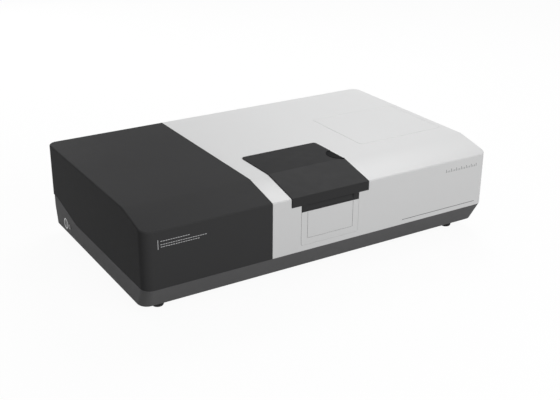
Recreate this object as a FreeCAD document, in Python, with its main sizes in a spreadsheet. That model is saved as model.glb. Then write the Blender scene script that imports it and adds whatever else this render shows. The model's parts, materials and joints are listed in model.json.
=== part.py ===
"""A UV-Vis-NIR spectrophotometer, in millimetres.

The origin is on the floor, midway between the ends and between the lid's lip and the back. +X runs to the
right as the user sees it, +Y runs to the back and +Z runs up.
"""
import FreeCAD
import Part
import Sketcher
import math
import os
import re

Vector = FreeCAD.Vector

# Driving sizes: name, value in millimetres unless the note says otherwise, note
SIZES = [
    ("case_length", 1020, "length over the covers"),
    ("case_depth", 612, "depth over the covers"),
    ("case_height", 226, "underside of the base pan to the flat top"),
    ("front_height", 201, "underside of the base pan to the front top edge"),
    ("slope_depth", 110, "front face to the bend in the top"),
    ("seam_height", 54.6, "underside of the base pan to the seam"),
    ("rear_seam_height", 84, "the same at the back, where the seam has risen"),
    ("rise_start", 182, "back face to where the seam starts to rise"),
    ("rise_end", 52, "back face to where the seam has risen"),
    ("corner_radius", 25, "upright corners of the covers and the pan"),
    ("edge_radius", 4, "top edges of the covers"),
    ("cover_wall", 3, "wall of the covers"),
    ("cover_split", 53.5, "joint of the two covers to the lid"),
    ("part_gap", 0.3, "clearance between pieces that come apart or move"),
    ("strip_width", 24, "joint strip under the covers"),
    ("strip_thickness", 1.5, "joint strip"),
    ("foot_height", 28, "rubber feet"),
    ("foot_radius", 15, "rubber feet"),
    ("foot_chamfer", 3, "lower edge of a foot"),
    ("foot_inset_side", 63.5, "end of the case to the centre of a foot"),
    ("foot_inset_depth", 75, "front or back face to the centre of a foot"),
    ("foot_well_radius", 6, "well for the screw in a foot"),
    ("foot_well_depth", 14, "well for the screw in a foot"),
    ("foot_screw_radius", 2.5, "shank of a foot screw"),
    ("foot_screw_head_radius", 4.7, "head of a foot screw"),
    ("foot_screw_head", 3.5, "height of the head of a foot screw"),
    ("foot_screw_reach", 6, "foot screw past the pan floor"),
    ("screw_fit", 0.2, "radial clearance of a screw in its hole"),
    ("pan_front_taper", 29.5, "lean of the front of the pan"),
    ("pan_side_taper", 3.7, "lean of each end of the pan"),
    ("pan_wall", 3, "wall and floor of the pan"),
    ("pan_rear_radius", 8, "rear corners of the pan"),
    ("pan_inner_bevel", 15, "front corners of the pan, inside"),
    ("rear_recess", 21, "covers overhang the back of the pan by this"),
    ("ear_width", 26, "ears of the pan under the rear of the covers"),
    ("ear_thickness", 3, "ears of the pan"),
    ("ear_margin", 60, "end of the case to the outer ears"),
    ("ear_split", 22, "joint of the covers to the ear beside it"),
    ("ear_clearance", 2, "ear's tip to the back face of the covers"),
    ("case_screw_radius", 1.9, "shank of a case screw"),
    ("case_screw_head_radius", 3.6, "head of a case screw"),
    ("case_screw_head", 2.4, "height of the head of a case screw"),
    ("case_screw_reach", 7, "case screw past what it clamps"),
    ("rear_panel_margin", 60, "end of the case to the rear panel"),
    ("rear_panel_height", 66, "rear panel"),
    ("rear_panel_thickness", 2, "rear panel"),
    ("rear_panel_foot", 8, "underside of the pan to the rear panel"),
    ("rear_window_margin", 9, "rear panel overlaps its window by this"),
    ("rear_screw_inset", 15, "end of the rear panel to its outer screws"),
    ("vent_count", 11, "vent slots in the rear panel (count)"),
    ("vent_pitch", 9, "vent slots"),
    ("vent_width", 4, "vent slots"),
    ("vent_height", 38, "vent slots"),
    ("vent_place", 230, "middle of the case to the first vent slot"),
    ("inlet_place", 70, "left end of the rear panel to the mains inlet"),
    ("inlet_width", 48, "flange of the mains inlet"),
    ("inlet_height", 28, "flange of the mains inlet"),
    ("inlet_flange", 2.5, "flange of the mains inlet"),
    ("inlet_body_width", 32, "body of the mains inlet"),
    ("inlet_body_height", 24, "body of the mains inlet"),
    ("inlet_depth", 24, "body of the mains inlet behind the panel"),
    ("inlet_socket_width", 24.5, "socket of the mains inlet"),
    ("inlet_socket_height", 16.5, "socket of the mains inlet"),
    ("inlet_socket_depth", 17, "socket of the mains inlet"),
    ("inlet_pin_pitch", 7, "contact pins of the mains inlet"),
    ("inlet_pin_width", 2, "contact pins of the mains inlet"),
    ("inlet_pin_height", 4, "contact pins of the mains inlet"),
    ("inlet_pin_length", 13, "contact pins of the mains inlet"),
    ("port_place", 76, "right end of the rear panel to the square data port"),
    ("port_pitch", 46, "between the two data ports"),
    ("port_height", 12, "data ports"),
    ("port_narrow_width", 13, "square data port"),
    ("port_wide_width", 32, "wide data port"),
    ("port_wall", 1.2, "shell of a data port"),
    ("port_depth", 14, "data port behind the panel"),
    ("port_proud", 2.5, "data port in front of the panel"),
    ("port_hollow", 9, "hollow of a data port"),
    ("fan_place", 200, "left end of the rear panel to the fan"),
    ("fan_size", 60, "square frame of the fan"),
    ("fan_thickness", 20, "frame of the fan"),
    ("fan_bore_radius", 28, "bore of the fan"),
    ("fan_hub_radius", 12, "hub of the fan"),
    ("fan_hub_plate", 3, "fixed hub and struts of the fan"),
    ("fan_strut_width", 4, "struts of the fan"),
    ("fan_spindle_radius", 2, "spindle of the fan"),
    ("fan_rotor_depth", 14, "rotor of the fan"),
    ("fan_blade_count", 7, "blades of the fan (count)"),
    ("fan_blade_thickness", 1.2, "blades of the fan"),
    ("fan_blade_angle", 35, "lean of the blades (degrees)"),
    ("fan_tip_gap", 1, "blade tips to the bore"),
    ("guard_thickness", 1.5, "finger guard of the fan"),
    ("guard_ring_width", 2, "rings of the finger guard"),
    ("guard_ring_pitch", 8, "between the rings of the guard"),
    ("guard_ring_count", 3, "rings of the guard (count)"),
    ("running_fit", 0.06, "radial clearance of a shaft in its bearing"),
    ("switch_place", 100, "back face to the power switch"),
    ("switch_height", 27, "underside of the pan to the power switch"),
    ("switch_bezel_radius", 15, "ring of the power switch"),
    ("switch_button_radius", 10.5, "button of the power switch"),
    ("switch_body_side", 24, "square body of the power switch"),
    ("switch_bezel_flange", 2.4, "ring of the power switch"),
    ("switch_proud", 0.6, "ring inside the end face of the covers"),
    ("switch_depth", 26, "body of the power switch"),
    ("switch_travel", 2, "travel of the button"),
    ("switch_button_length", 9, "button of the power switch"),
    ("fuse_pitch", 27, "power switch to the fuse holder"),
    ("fuse_cap_radius", 8, "cap of the fuse holder"),
    ("fuse_body_radius", 6, "body of the fuse holder"),
    ("fuse_depth", 30, "body of the fuse holder"),
    ("fuse_slot", 1.5, "coin slot in the cap of the fuse holder"),
    ("lid_centre", 4.5, "lid's centre left of the middle of the case"),
    ("lid_width", 228, "sample lid"),
    ("lid_depth", 248, "front face to the back of the lid"),
    ("lid_proud", 2, "lid above and in front of the covers"),
    ("lid_wall", 2.5, "wall of the lid"),
    ("lid_lip", 23, "front top edge to the bottom of the lip"),
    ("lid_gap", 0.8, "lid to the opening round it"),
    ("lid_corner_radius", 12, "rear corners of the lid"),
    ("lid_rail", 12, "rear rail of the lid"),
    ("lid_skirt", 16, "covers' surface to the bottom of the lid's skirts"),
    ("knuckle_radius", 2, "knuckles of the hinge"),
    ("hinge_pin_radius", 0.9, "hinge pin"),
    ("knuckle_length", 30, "fixed knuckles of the hinge"),
    ("hinge_setback", 5, "back of the lid to its rear rail"),
    ("liner_thickness", 7, "liner of the lid"),
    ("seal_thickness", 4, "seal on the rim of the compartment"),
    ("tub_width", 200, "sample compartment inside"),
    ("tub_wall", 5, "wall of the compartment"),
    ("tub_floor", 4, "floor of the compartment"),
    ("tub_toe", 3, "bevel of the compartment's front edge above the pan"),
    ("tub_rear_gap", 6, "lid's rear rail to the rear wall of the compartment"),
    ("tub_flange", 26, "flange round the compartment, from its inner wall"),
    ("tub_flange_thickness", 2, "flange round the compartment"),
    ("tub_flange_drop", 17, "cover's surface to the top of the flange"),
    ("tub_rear_flange", 28, "flange behind the rear wall of the compartment"),
    ("leaf_thickness", 1, "fixed leaf of the hinge"),
    ("leaf_foot", 5.5, "foot of the hinge leaf"),
    ("leaf_gap", 0.5, "lid's knuckle to the top of the leaf"),
    ("leaf_setback", 0.2, "back of the knuckles to the back of the leaf"),
    ("access_width", 171, "front access panel and scoop"),
    ("access_bottom", 70, "underside of the pan to the access panel"),
    ("access_top", 159, "underside of the pan to the top of the access panel"),
    ("access_thickness", 3, "access panel"),
    ("access_radius", 5, "lower corners of the access panel"),
    ("access_frame", 17, "edge of the access panel to its raised frame"),
    ("access_groove", 1, "groove in the access panel"),
    ("access_groove_width", 1.2, "groove in the access panel"),
    ("access_gap", 0.4, "access panel to the opening round it"),
    ("access_ledge", 9, "opening in the tub inside the panel's edge"),
    ("spigot_side", 6, "square spigots of the access panel"),
    ("spigot_length", 4, "spigots of the access panel"),
    ("spigot_inset", 4.5, "edge of the panel to its spigots"),
    ("scoop_depth", 26, "finger scoop"),
    ("scoop_top", 25, "bottom of the scoop to its top edge"),
    ("scoop_wall", 2.5, "edge of the scoop"),
    ("scoop_lean_side", 14, "ends of the scoop lean in by this"),
    ("scoop_lean_floor", 11, "floor of the scoop rises by this"),
    ("port_recess_width", 28, "half oval recess in the lid"),
    ("port_recess_length", 70, "half oval recess in the lid"),
    ("port_recess_depth", 1.6, "half oval recess in the lid"),
    ("port_recess_place", 105, "front face to the half oval recess"),
    ("port_recess_steps", 8, "straight runs round the half oval (count)"),
    ("port_plug_thickness", 2.6, "half oval plug"),
    ("port_plug_rim", 3, "rim of the half oval plug"),
    ("port_plug_dish", 1.4, "dish in the half oval plug"),
    ("hatch_margin", 20, "right end of the case to the hatch"),
    ("hatch_length", 278, "detector hatch"),
    ("hatch_front", 176, "front face to the hatch"),
    ("hatch_depth", 236, "detector hatch"),
    ("hatch_radius", 8, "corners of the hatch"),
    ("hatch_gap", 0.6, "hatch to the opening round it"),
    ("hatch_ledge", 9, "ledge of the hatch frame under the hatch"),
    ("hatch_rim", 14, "hatch frame under the cover round the hatch"),
    ("hatch_frame_thickness", 2, "hatch frame"),
    ("hatch_skirt", 8, "stiffening skirt under the hatch"),
    ("hatch_skirt_wall", 2, "stiffening skirt under the hatch"),
    ("bench_top", 52, "underside of the pan to the top of the bench"),
    ("bench_thickness", 12, "optical bench"),
    ("bench_margin", 20, "end of the case to the bench"),
    ("bench_front", 25, "front face to the bench"),
    ("bench_back", 26, "rear wall to the back of the bench"),
    ("bench_rib_width", 10, "ribs under the bench"),
    ("bench_rib_height", 14, "ribs under the bench"),
    ("bench_rib_count", 6, "ribs under the bench (count)"),
    ("mount_radius", 16, "rubber mounts of the bench"),
    ("mount_inset_side", 130, "end of the bench to a rubber mount"),
    ("mount_inset_depth", 45, "front or back of the bench to a rubber mount"),
    ("beam_height", 50, "top of the bench to the light beams"),
    ("sample_beam", 135, "front face to the sample beam"),
    ("reference_beam", 65, "front face to the reference beam"),
    ("window_side", 28, "square beam windows"),
    ("window_thickness", 2, "beam windows"),
    ("window_clear_side", 20, "clear opening of a beam window"),
    ("window_fit", 0.1, "clearance round a beam window"),
    ("holder_plate_width", 150, "plate under the cell holders"),
    ("holder_plate_depth", 130, "plate under the cell holders"),
    ("holder_plate_thickness", 8, "plate under the cell holders"),
    ("holder_size", 34, "cell holder block"),
    ("holder_height", 62, "cell holder block"),
    ("cell_size", 12.7, "well for a 10 mm cell"),
    ("cell_beam_height", 15, "bottom of the well to the beam"),
    ("cell_aperture_side", 10, "square beam opening of a cell holder"),
    ("cell_slot", 7, "finger slots beside the well"),
    ("cell_slot_depth", 14, "finger slots beside the well"),
    ("interlock_width", 12, "body of the lid switch"),
    ("interlock_length", 20, "body of the lid switch"),
    ("interlock_height", 14, "body of the lid switch"),
    ("plunger_radius", 1.2, "plunger of the lid switch"),
    ("plunger_travel", 2, "travel of the plunger"),
    ("plunger_seat", 5, "plunger inside the switch"),
    ("interlock_place", 69, "back of the lid to the lid switch"),
    ("plunger_gap", 0.8, "plunger of the lid switch to the lid's skirt"),
    ("optics_left", 100, "left end of the case to the lamp beam and the entrance slit"),
    ("lamp_box_place", 114, "back face to the centre of the lamp housing"),
    ("lamp_box_size", 130, "lamp housing"),
    ("lamp_box_height", 100, "lamp housing"),
    ("lamp_box_wall", 2.5, "lamp housing"),
    ("lamp_aperture_side", 16, "square light opening of the lamp housing"),
    ("lamp_pitch", 33, "beam to each lamp, sideways"),
    ("lamp_offset", 15, "lamps behind the centre of the housing"),
    ("deuterium_radius", 15, "deuterium lamp"),
    ("deuterium_height", 66, "deuterium lamp"),
    ("deuterium_base_side", 38, "square socket of the deuterium lamp"),
    ("lamp_base_height", 12, "sockets of the lamps"),
    ("halogen_radius", 6, "halogen lamp"),
    ("halogen_height", 50, "halogen lamp"),
    ("halogen_base_side", 20, "square socket of the halogen lamp"),
    ("source_mirror_offset", 25, "centre of the lamp housing to the source mirror"),
    ("small_motor_side", 24, "square motors of the source mirror, the wheels and the turret"),
    ("small_motor_length", 26, "length of these motors"),
    ("small_shaft_radius", 2.5, "their shafts"),
    ("small_shaft_seat", 9, "shaft inside such a motor"),
    ("source_mirror_size", 24, "source mirror"),
    ("source_mirror_thickness", 4, "source mirror"),
    ("source_mirror_foot", 1, "shaft inside the source mirror"),
    ("filter_wheel_place", 202, "back face to the filter wheel"),
    ("filter_wheel_radius", 40, "filter wheel"),
    ("filter_wheel_thickness", 3, "filter wheel"),
    ("filter_pitch_radius", 28, "filters of the filter wheel"),
    ("filter_radius", 7, "filters of the filter wheel"),
    ("filter_count", 6, "filters of the filter wheel (count)"),
    ("wheel_hub_radius", 7, "hubs of the filter and chopper wheels"),
    ("wheel_gap", 2, "a wheel to its motor"),
    ("pedestal_width", 16, "pedestals of the wheel motors"),
    ("pedestal_inset", 1, "ends of a wheel motor to its pedestal"),
    ("slit_place", 252, "back face to the slits"),
    ("slit_plate_width", 44, "slit plates"),
    ("slit_plate_height", 75, "slit plates"),
    ("slit_plate_thickness", 3, "slit plates"),
    ("slit_plate_foot", 14, "foot of a slit plate"),
    ("slit_width", 2, "slits"),
    ("slit_height", 14, "slits"),
    ("concave_place", 60, "front face to the concave mirrors"),
    ("concave_size", 60, "concave mirrors"),
    ("concave_thickness", 14, "concave mirrors"),
    ("concave_radius", 600, "curvature of the concave mirrors"),
    ("concave_sag", 2, "depth of the concave faces"),
    ("concave_turn", 8.5, "concave mirrors turned to the gratings (degrees)"),
    ("concave_mount_width", 30, "mounts under the concave mirrors"),
    ("turret_place", 70, "slits to the axis of the grating turret"),
    ("turret_radius", 40, "turntable of the grating turret"),
    ("turret_thickness", 5, "turntable of the grating turret"),
    ("turret_level", 22, "top of the bench to the turntable"),
    ("turret_shaft_radius", 6, "shaft of the grating turret"),
    ("turret_shaft_seat", 9, "shaft of the turret in the bench"),
    ("grating_size", 46, "gratings"),
    ("grating_thickness", 8, "gratings"),
    ("grating_post", 10, "plate between the gratings"),
    ("gear_module", 2, "teeth of the turret drive (module)"),
    ("gear_teeth", 45, "turret gear (count)"),
    ("pinion_teeth", 15, "turret pinion (count)"),
    ("gear_level", 6, "top of the bench to the turret gear"),
    ("gear_thickness", 8, "turret gear"),
    ("pinion_overlap", 1, "pinion past each face of the gear"),
    ("gear_backlash", 0.3, "play between the teeth, at the pitch circle"),
    ("gear_centre_gap", 0.1, "gear and pinion set apart by this"),
    ("pinion_shaft_gap", 1.5, "pinion shaft in the bench, radial clearance"),
    ("chopper_place", 172, "back face to the chopper and the first mirror"),
    ("chopper_offset", 50, "mirrors of the sample beam to the chopper"),
    ("chopper_radius", 34, "chopper wheel"),
    ("chopper_thickness", 2, "chopper wheel"),
    ("chopper_rise", 24, "beam to the chopper's axis"),
    ("chopper_turn", 45, "chopper against the beam (degrees)"),
    ("mirror_size", 30, "plane mirrors"),
    ("mirror_thickness", 4, "plane mirrors"),
    ("mirror_post_side", 5, "square posts of the plane mirrors"),
    ("mirror_foot_side", 22, "square feet of the plane mirrors"),
    ("mirror_foot_height", 5, "feet of the plane mirrors"),
    ("mirror_backing", 5, "plate behind a plane mirror"),
    ("sample_fold", 45.5, "compartment to the mirrors of the sample beam"),
    ("sample_detector_fold", 68, "left end of the hatch to the last mirror of the sample beam"),
    ("reference_detector_fold", 188, "left end of the hatch to the last mirror of the reference beam"),
    ("housing_wall", 3, "detector housing"),
    ("housing_beam_side", 18, "square light openings of the detector housing"),
    ("detector_place", 164, "front of the hatch to the detectors"),
    ("tube_radius", 14, "photomultiplier"),
    ("tube_height", 80, "photomultiplier"),
    ("tube_base_side", 36, "square socket of the photomultiplier"),
    ("tube_base_height", 14, "socket of the photomultiplier"),
    ("infrared_width", 40, "block of the near infrared detector"),
    ("infrared_depth", 30, "block of the near infrared detector"),
    ("infrared_height", 66, "block of the near infrared detector"),
    ("infrared_can_radius", 8, "can of the near infrared detector"),
    ("infrared_can_length", 10, "can of the near infrared detector"),
    ("infrared_fin_count", 5, "cooling fins of the near infrared detector (count)"),
    ("infrared_fin_pitch", 8, "cooling fins of the near infrared detector"),
    ("infrared_fin_thickness", 2, "cooling fins of the near infrared detector"),
    ("infrared_fin_depth", 10, "cooling fins of the near infrared detector"),
    ("supply_place", 80, "middle of the case to the left end of the power supply"),
    ("supply_depth_place", 25, "back of the bench to the power supply"),
    ("supply_length", 200, "power supply"),
    ("supply_depth", 110, "power supply"),
    ("supply_height", 56, "power supply"),
    ("supply_wall", 1.5, "case of the power supply"),
    ("supply_slot_count", 12, "vent slots of the power supply (count)"),
    ("supply_slot_pitch", 12, "vent slots of the power supply"),
    ("supply_slot_width", 4, "vent slots of the power supply"),
    ("board_place", 60, "right end of the case to the control board"),
    ("board_depth_place", 20, "back of the bench to the control board"),
    ("board_length", 240, "control board"),
    ("board_gap", 28, "detector housing to the control board"),
    ("board_thickness", 1.6, "control board"),
    ("board_post", 8, "posts of the control board"),
    ("board_post_side", 6, "square posts of the control board"),
    ("chip_size", 24, "chips of the control board"),
    ("chip_height", 3, "chips of the control board"),
    ("chip_pitch", 50, "chips of the control board"),
    ("chip_count", 4, "chips of the control board (count)"),
]


document = FreeCAD.newDocument("spectrophotometer")
sheet = document.addObject("Spreadsheet::Sheet", "Sizes")
for row, (alias, value, note) in enumerate(SIZES, start=1):
    sheet.set("A%d" % row, alias)
    sheet.set("B%d" % row, str(value))
    sheet.setAlias("B%d" % row, alias)
    sheet.set("C%d" % row, note)
document.recompute()
SIZE_NAMES = {alias for alias, value, note in SIZES}
nodes = {}


def bound(text):
    """Turn the size names in an expression into references to the sheet."""
    def refer(word):
        return "Sizes." + word.group() if word.group() in SIZE_NAMES else word.group()
    return re.sub(r"[a-z][a-z_]+", refer, text)


def number(text):
    """Give an expression's value, from the sheet."""
    result = sheet.evalExpression(text)
    return float(getattr(result, "Value", result))


# Places that many pieces share, as expressions of the driving sizes
LEFT = "(-case_length / 2)"
RIGHT = "(case_length / 2)"
FRONT = "(-(case_depth - lid_proud) / 2)"
BACK = "((case_depth + lid_proud) / 2)"
REAR_WALL = "(%s - rear_recess)" % BACK
FLOOR = "foot_height"
SEAM = "(foot_height + seam_height)"
REAR_SEAM = "(foot_height + rear_seam_height)"
FRONT_TOP = "(foot_height + front_height)"
TOP = "(foot_height + case_height)"
BEND = "(%s + slope_depth)" % FRONT
RISE_START = "(%s - rise_start)" % BACK
RISE_END = "(%s - rise_end)" % BACK
PANEL_LEFT = "(%s + rear_panel_margin)" % LEFT
PANEL_RIGHT = "(%s - rear_panel_margin)" % RIGHT
LID_LEFT = "(-lid_centre - lid_width / 2)"
LID_RIGHT = "(-lid_centre + lid_width / 2)"
SPLIT = "(%s - cover_split)" % LID_LEFT
LID_BACK = "(%s + lid_depth)" % FRONT
LIP_FRONT = "(%s - lid_proud)" % FRONT
LIP_BOTTOM = "(%s - lid_lip)" % FRONT_TOP
HINGE_Y = "(%s - knuckle_radius)" % LID_BACK
HINGE_Z = "(%s + lid_proud - knuckle_radius)" % TOP
RAIL_BACK = "(%s - hinge_setback)" % LID_BACK
RAIL_FRONT = "(%s - lid_rail)" % RAIL_BACK
TUB_LEFT = "(-lid_centre - tub_width / 2)"
TUB_RIGHT = "(-lid_centre + tub_width / 2)"
TUB_FRONT = "(%s + cover_wall + part_gap)" % FRONT
TUB_INSIDE_FRONT = "(%s + tub_wall)" % TUB_FRONT
TUB_OUTSIDE_BACK = "(%s - tub_rear_gap)" % RAIL_FRONT
TUB_INSIDE_BACK = "(%s - tub_wall)" % TUB_OUTSIDE_BACK
RIM_DROP = "(lid_wall - lid_proud + liner_thickness + part_gap + seal_thickness)"
ACCESS_LEFT = "(-lid_centre - access_width / 2)"
ACCESS_RIGHT = "(-lid_centre + access_width / 2)"
ACCESS_BOTTOM = "(foot_height + access_bottom)"
ACCESS_TOP = "(foot_height + access_top)"
HATCH_RIGHT = "(%s - hatch_margin)" % RIGHT
HATCH_LEFT = "(%s - hatch_length)" % HATCH_RIGHT
HATCH_FRONT = "(%s + hatch_front)" % FRONT
HATCH_BACK = "(%s + hatch_depth)" % HATCH_FRONT
BENCH = "(foot_height + bench_top)"
BEAM = "(%s + beam_height)" % BENCH
SAMPLE_Y = "(%s + sample_beam)" % FRONT
REFERENCE_Y = "(%s + reference_beam)" % FRONT

# Sides of the outlines that stand for small round forms
SQUARE = 4
SCREW_SIDES = 6
HOUSING_SIDES = 8
RING_SIDES = 12
FOOT_SIDES = 16
DISC_SIDES = 24

# An edge counts as lying at a place when it is this near to it
NEAR = 0.05


def plus(*terms):
    """Add expressions."""
    return "(" + " + ".join("(%s)" % term for term in terms) + ")"


def minus(first, *terms):
    """Take expressions from the first one."""
    return "(" + " - ".join("(%s)" % term for term in (first,) + terms) + ")"


def new_body(name):
    body = document.addObject("PartDesign::Body", name)
    body.Label = name
    return body


def new_sketch(body, plane, level="0", across="0", up="0"):
    """Attach a sketch to an origin plane, at a level along the plane's axis."""
    sketch = body.newObject("Sketcher::SketchObject", body.Name + "_sketch")
    origin_plane = [item for item in body.Origin.OriginFeatures if item.Role == plane + "_Plane"][0]
    sketch.AttachmentSupport = [(origin_plane, "")]
    sketch.MapMode = "FlatFace"
    normal_offset = "-1 * (%s)" % level if plane == "XZ" else level
    for axis, text in (("x", across), ("y", up), ("z", normal_offset)):
        if text != "0":
            sketch.setExpression("AttachmentOffset.Base." + axis, bound(text))
    return sketch


def pin_point(sketch, geometry, point, across, up):
    """Tie a sketch point to two expressions."""
    for kind, text in (("DistanceX", across), ("DistanceY", up)):
        constraint = Sketcher.Constraint(kind, -1, 1, geometry, point, number(text))
        index = sketch.addConstraint(constraint)
        sketch.setExpression("Constraints[%d]" % index, bound(text))


def polygon(sketch, corners):
    """Draw a closed outline whose corners are pairs of expressions."""
    first = sketch.GeometryCount
    places = [Vector(number(across), number(up), 0) for across, up in corners]
    count = len(corners)
    for index in range(count):
        line = Part.LineSegment(places[index], places[(index + 1) % count])
        sketch.addGeometry(line, False)
    for index in range(count):
        following = first + (index + 1) % count
        sketch.addConstraint(Sketcher.Constraint("Coincident", first + index, 2, following, 1))
    for index, (across, up) in enumerate(corners):
        pin_point(sketch, first + index, 1, across, up)


def rectangle(sketch, low_across, high_across, low_up, high_up):
    polygon(sketch, [(low_across, low_up), (high_across, low_up),
                     (high_across, high_up), (low_across, high_up)])


def circle(sketch, across, up, radius):
    shape = Part.Circle(Vector(number(across), number(up), 0), Vector(0, 0, 1), number(radius))
    geometry = sketch.addGeometry(shape, False)
    pin_point(sketch, geometry, 3, across, up)
    index = sketch.addConstraint(Sketcher.Constraint("Radius", geometry, number(radius)))
    sketch.setExpression("Constraints[%d]" % index, bound(radius))


def outline(sketch, across, up, radius, sides=0):
    """Draw a circle, or a regular outline of so many sides round that circle."""
    if not sides:
        circle(sketch, across, up, radius)
        return
    reach = 1 / math.cos(math.pi / sides)
    corners = []
    for index in range(sides):
        angle = (2 * index + 1) * math.pi / sides
        corners.append((plus(across, "%.6f * (%s)" % (reach * math.cos(angle), radius)),
                        plus(up, "%.6f * (%s)" % (reach * math.sin(angle), radius))))
    polygon(sketch, corners)


def extrude(body, sketch, length):
    feature = body.newObject("PartDesign::Pad", body.Name + "_pad")
    feature.Profile = sketch
    feature.setExpression("Length", bound(length))
    sketch.Visibility = False
    return feature


def drill(body, sketch, length):
    feature = body.newObject("PartDesign::Pocket", body.Name + "_pocket")
    feature.Profile = sketch
    feature.setExpression("Length", bound(length))
    sketch.Visibility = False
    return feature


def pad(body, plane, draw, low, high):
    """Add material between two levels along the plane's axis; draw gets the sketch."""
    sketch = new_sketch(body, plane, high if plane == "XZ" else low)
    draw(sketch)
    return extrude(body, sketch, minus(high, low))


def pocket(body, plane, draw, low, high):
    """Take material away between two levels along the plane's axis."""
    sketch = new_sketch(body, plane, low if plane == "XZ" else high)
    draw(sketch)
    return drill(body, sketch, minus(high, low))


def block(body, x, y, z):
    """Add a box; each argument is a pair of expressions."""
    return pad(body, "XY", lambda sketch: rectangle(sketch, *x, *y), *z)


def hollow(body, x, y, z):
    """Cut a box out."""
    return pocket(body, "XY", lambda sketch: rectangle(sketch, *x, *y), *z)


def rod(body, plane, across, up, radius, low, high, sides=0):
    return pad(body, plane, lambda sketch: outline(sketch, across, up, radius, sides), low, high)


def bore(body, plane, across, up, radius, low, high, sides=0):
    return pocket(body, plane, lambda sketch: outline(sketch, across, up, radius, sides), low, high)


def lies_at(edge, x=None, y=None, z=None):
    """Tell whether an edge lies at the given place along each axis that is named."""
    box = edge.BoundBox
    spans = ((x, box.XMin, box.XMax), (y, box.YMin, box.YMax), (z, box.ZMin, box.ZMax))
    for text, low, high in spans:
        if text is not None:
            place = number(text)
            if abs(low - place) > NEAR or abs(high - place) > NEAR:
                return False
    return True


def round_edges(body, radius, wanted, kind="Fillet"):
    """Round, or with kind Chamfer bevel, the edges for which wanted is true."""
    document.recompute()
    base = body.Tip
    names = ["Edge%d" % (index + 1) for index, edge in enumerate(base.Shape.Edges) if wanted(edge)]
    feature = body.newObject("PartDesign::" + kind, body.Name + "_" + kind.lower())
    feature.Base = (base, names)
    feature.setExpression("Radius" if kind == "Fillet" else "Size", bound(radius))
    return feature


def place(body, x="0", y="0", z="0", turn="0", axis=(0, 0, 1)):
    """Move a body, after turning it by an angle in degrees about an axis."""
    body.Placement = FreeCAD.Placement(Vector(0, 0, 0), FreeCAD.Rotation(Vector(*axis), number(turn)))
    for name, text in (("x", x), ("y", y), ("z", z)):
        if text != "0":
            body.setExpression("Placement.Base." + name, bound(text))
    if turn != "0":
        body.setExpression("Placement.Rotation.Angle", bound(turn))


def subtract(name, base, tool):
    result = document.addObject("Part::Cut", name)
    result.Label = name
    result.Base = base
    result.Tool = tool
    return result


def intersect(name, base, tool):
    result = document.addObject("Part::Common", name)
    result.Label = name
    result.Base = base
    result.Tool = tool
    return result


def join(name, shapes):
    result = document.addObject("Part::MultiFuse", name)
    result.Label = name
    result.Shapes = shapes
    return result


def group(name, pieces):
    """Several separate solids in one node."""
    result = document.addObject("Part::Compound", name)
    result.Label = name
    result.Links = pieces
    return result


def keep(name, piece):
    """Set a finished piece down as a node."""
    piece.Label = name
    nodes[name] = piece
    return piece


def slope_at(along):
    """Height of the sloping front of the top at a place along Y."""
    return "(%s + (%s - %s) * (case_height - front_height) / slope_depth)" % (FRONT_TOP, along, FRONT)


def surface_profile(sketch, drop, front, back, bottom_points):
    """Draw the case's side profile at a drop below its surface, closed by the points given."""
    corners = [(front, minus(slope_at(front), drop)), (BEND, minus(TOP, drop)), (back, minus(TOP, drop))]
    polygon(sketch, corners + bottom_points)


def surface_band(body, high_drop, low_drop, front, back, left, right):
    """Add a layer that follows the case's top between two drops below its surface."""
    under = [(back, minus(TOP, low_drop)), (BEND, minus(TOP, low_drop)),
             (front, minus(slope_at(front), low_drop))]
    pad(body, "YZ", lambda sketch: surface_profile(sketch, high_drop, front, back, under), left, right)


# Covers

def case_shape(name, left, right, inset, rounded, low_points):
    """The case's outline at an inset, from left to right, with the named upright corners rounded."""
    body = new_body(name)
    front = plus(FRONT, inset)
    back = minus(BACK, inset)
    pad(body, "YZ", lambda sketch: surface_profile(sketch, inset, front, back, low_points), left, right)
    radius = minus("corner_radius", inset)

    def upright(edge):
        return any(lies_at(edge, x=x, y=y) for x in rounded for y in (front, back))
    round_edges(body, radius, upright)
    return body


def top_edge(edge):
    """Tell whether an edge runs along the outer top of a cover."""
    inner = lies_at(edge, x=SPLIT) or lies_at(edge, y=BEND, z=TOP)
    return edge.BoundBox.ZMin > number(FRONT_TOP) - number("corner_radius") / 3 and not inner


def cover_shell(name, left, right, rounded, hollow_left, hollow_right):
    """A moulded cover, open below and at the joint with the other cover."""
    skirt = [(BACK, REAR_SEAM), (RISE_END, REAR_SEAM), (RISE_START, SEAM), (FRONT, SEAM)]
    outer = case_shape(name + "_outer", left, right, "0", rounded, skirt)
    round_edges(outer, "edge_radius", top_edge)
    open_level = minus(SEAM, "cover_wall")
    flange_level = plus(REAR_SEAM, "cover_wall")
    inside = [(minus(BACK, "cover_wall"), flange_level), (REAR_WALL, flange_level),
              (REAR_WALL, open_level), (plus(FRONT, "cover_wall"), open_level)]
    inner_rounded = [plus(x, "cover_wall") if x == LEFT else minus(x, "cover_wall") for x in rounded]
    inner = case_shape(name + "_inner", hollow_left, hollow_right, "cover_wall", inner_rounded, inside)
    return subtract(name + "_shell", outer, inner)


def ear_places():
    """Centres of the ears along the back: first the left cover's one, then the three of the main cover."""
    second = plus(SPLIT, "ear_split")
    last = minus(RIGHT, "ear_margin")
    return [plus(LEFT, "ear_margin"), second, "((%s + %s) / 2)" % (second, last), last]


EAR_TIP = minus(BACK, "ear_clearance")
EAR_HOLE_Y = "((%s + %s) / 2)" % (REAR_WALL, EAR_TIP)


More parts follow.
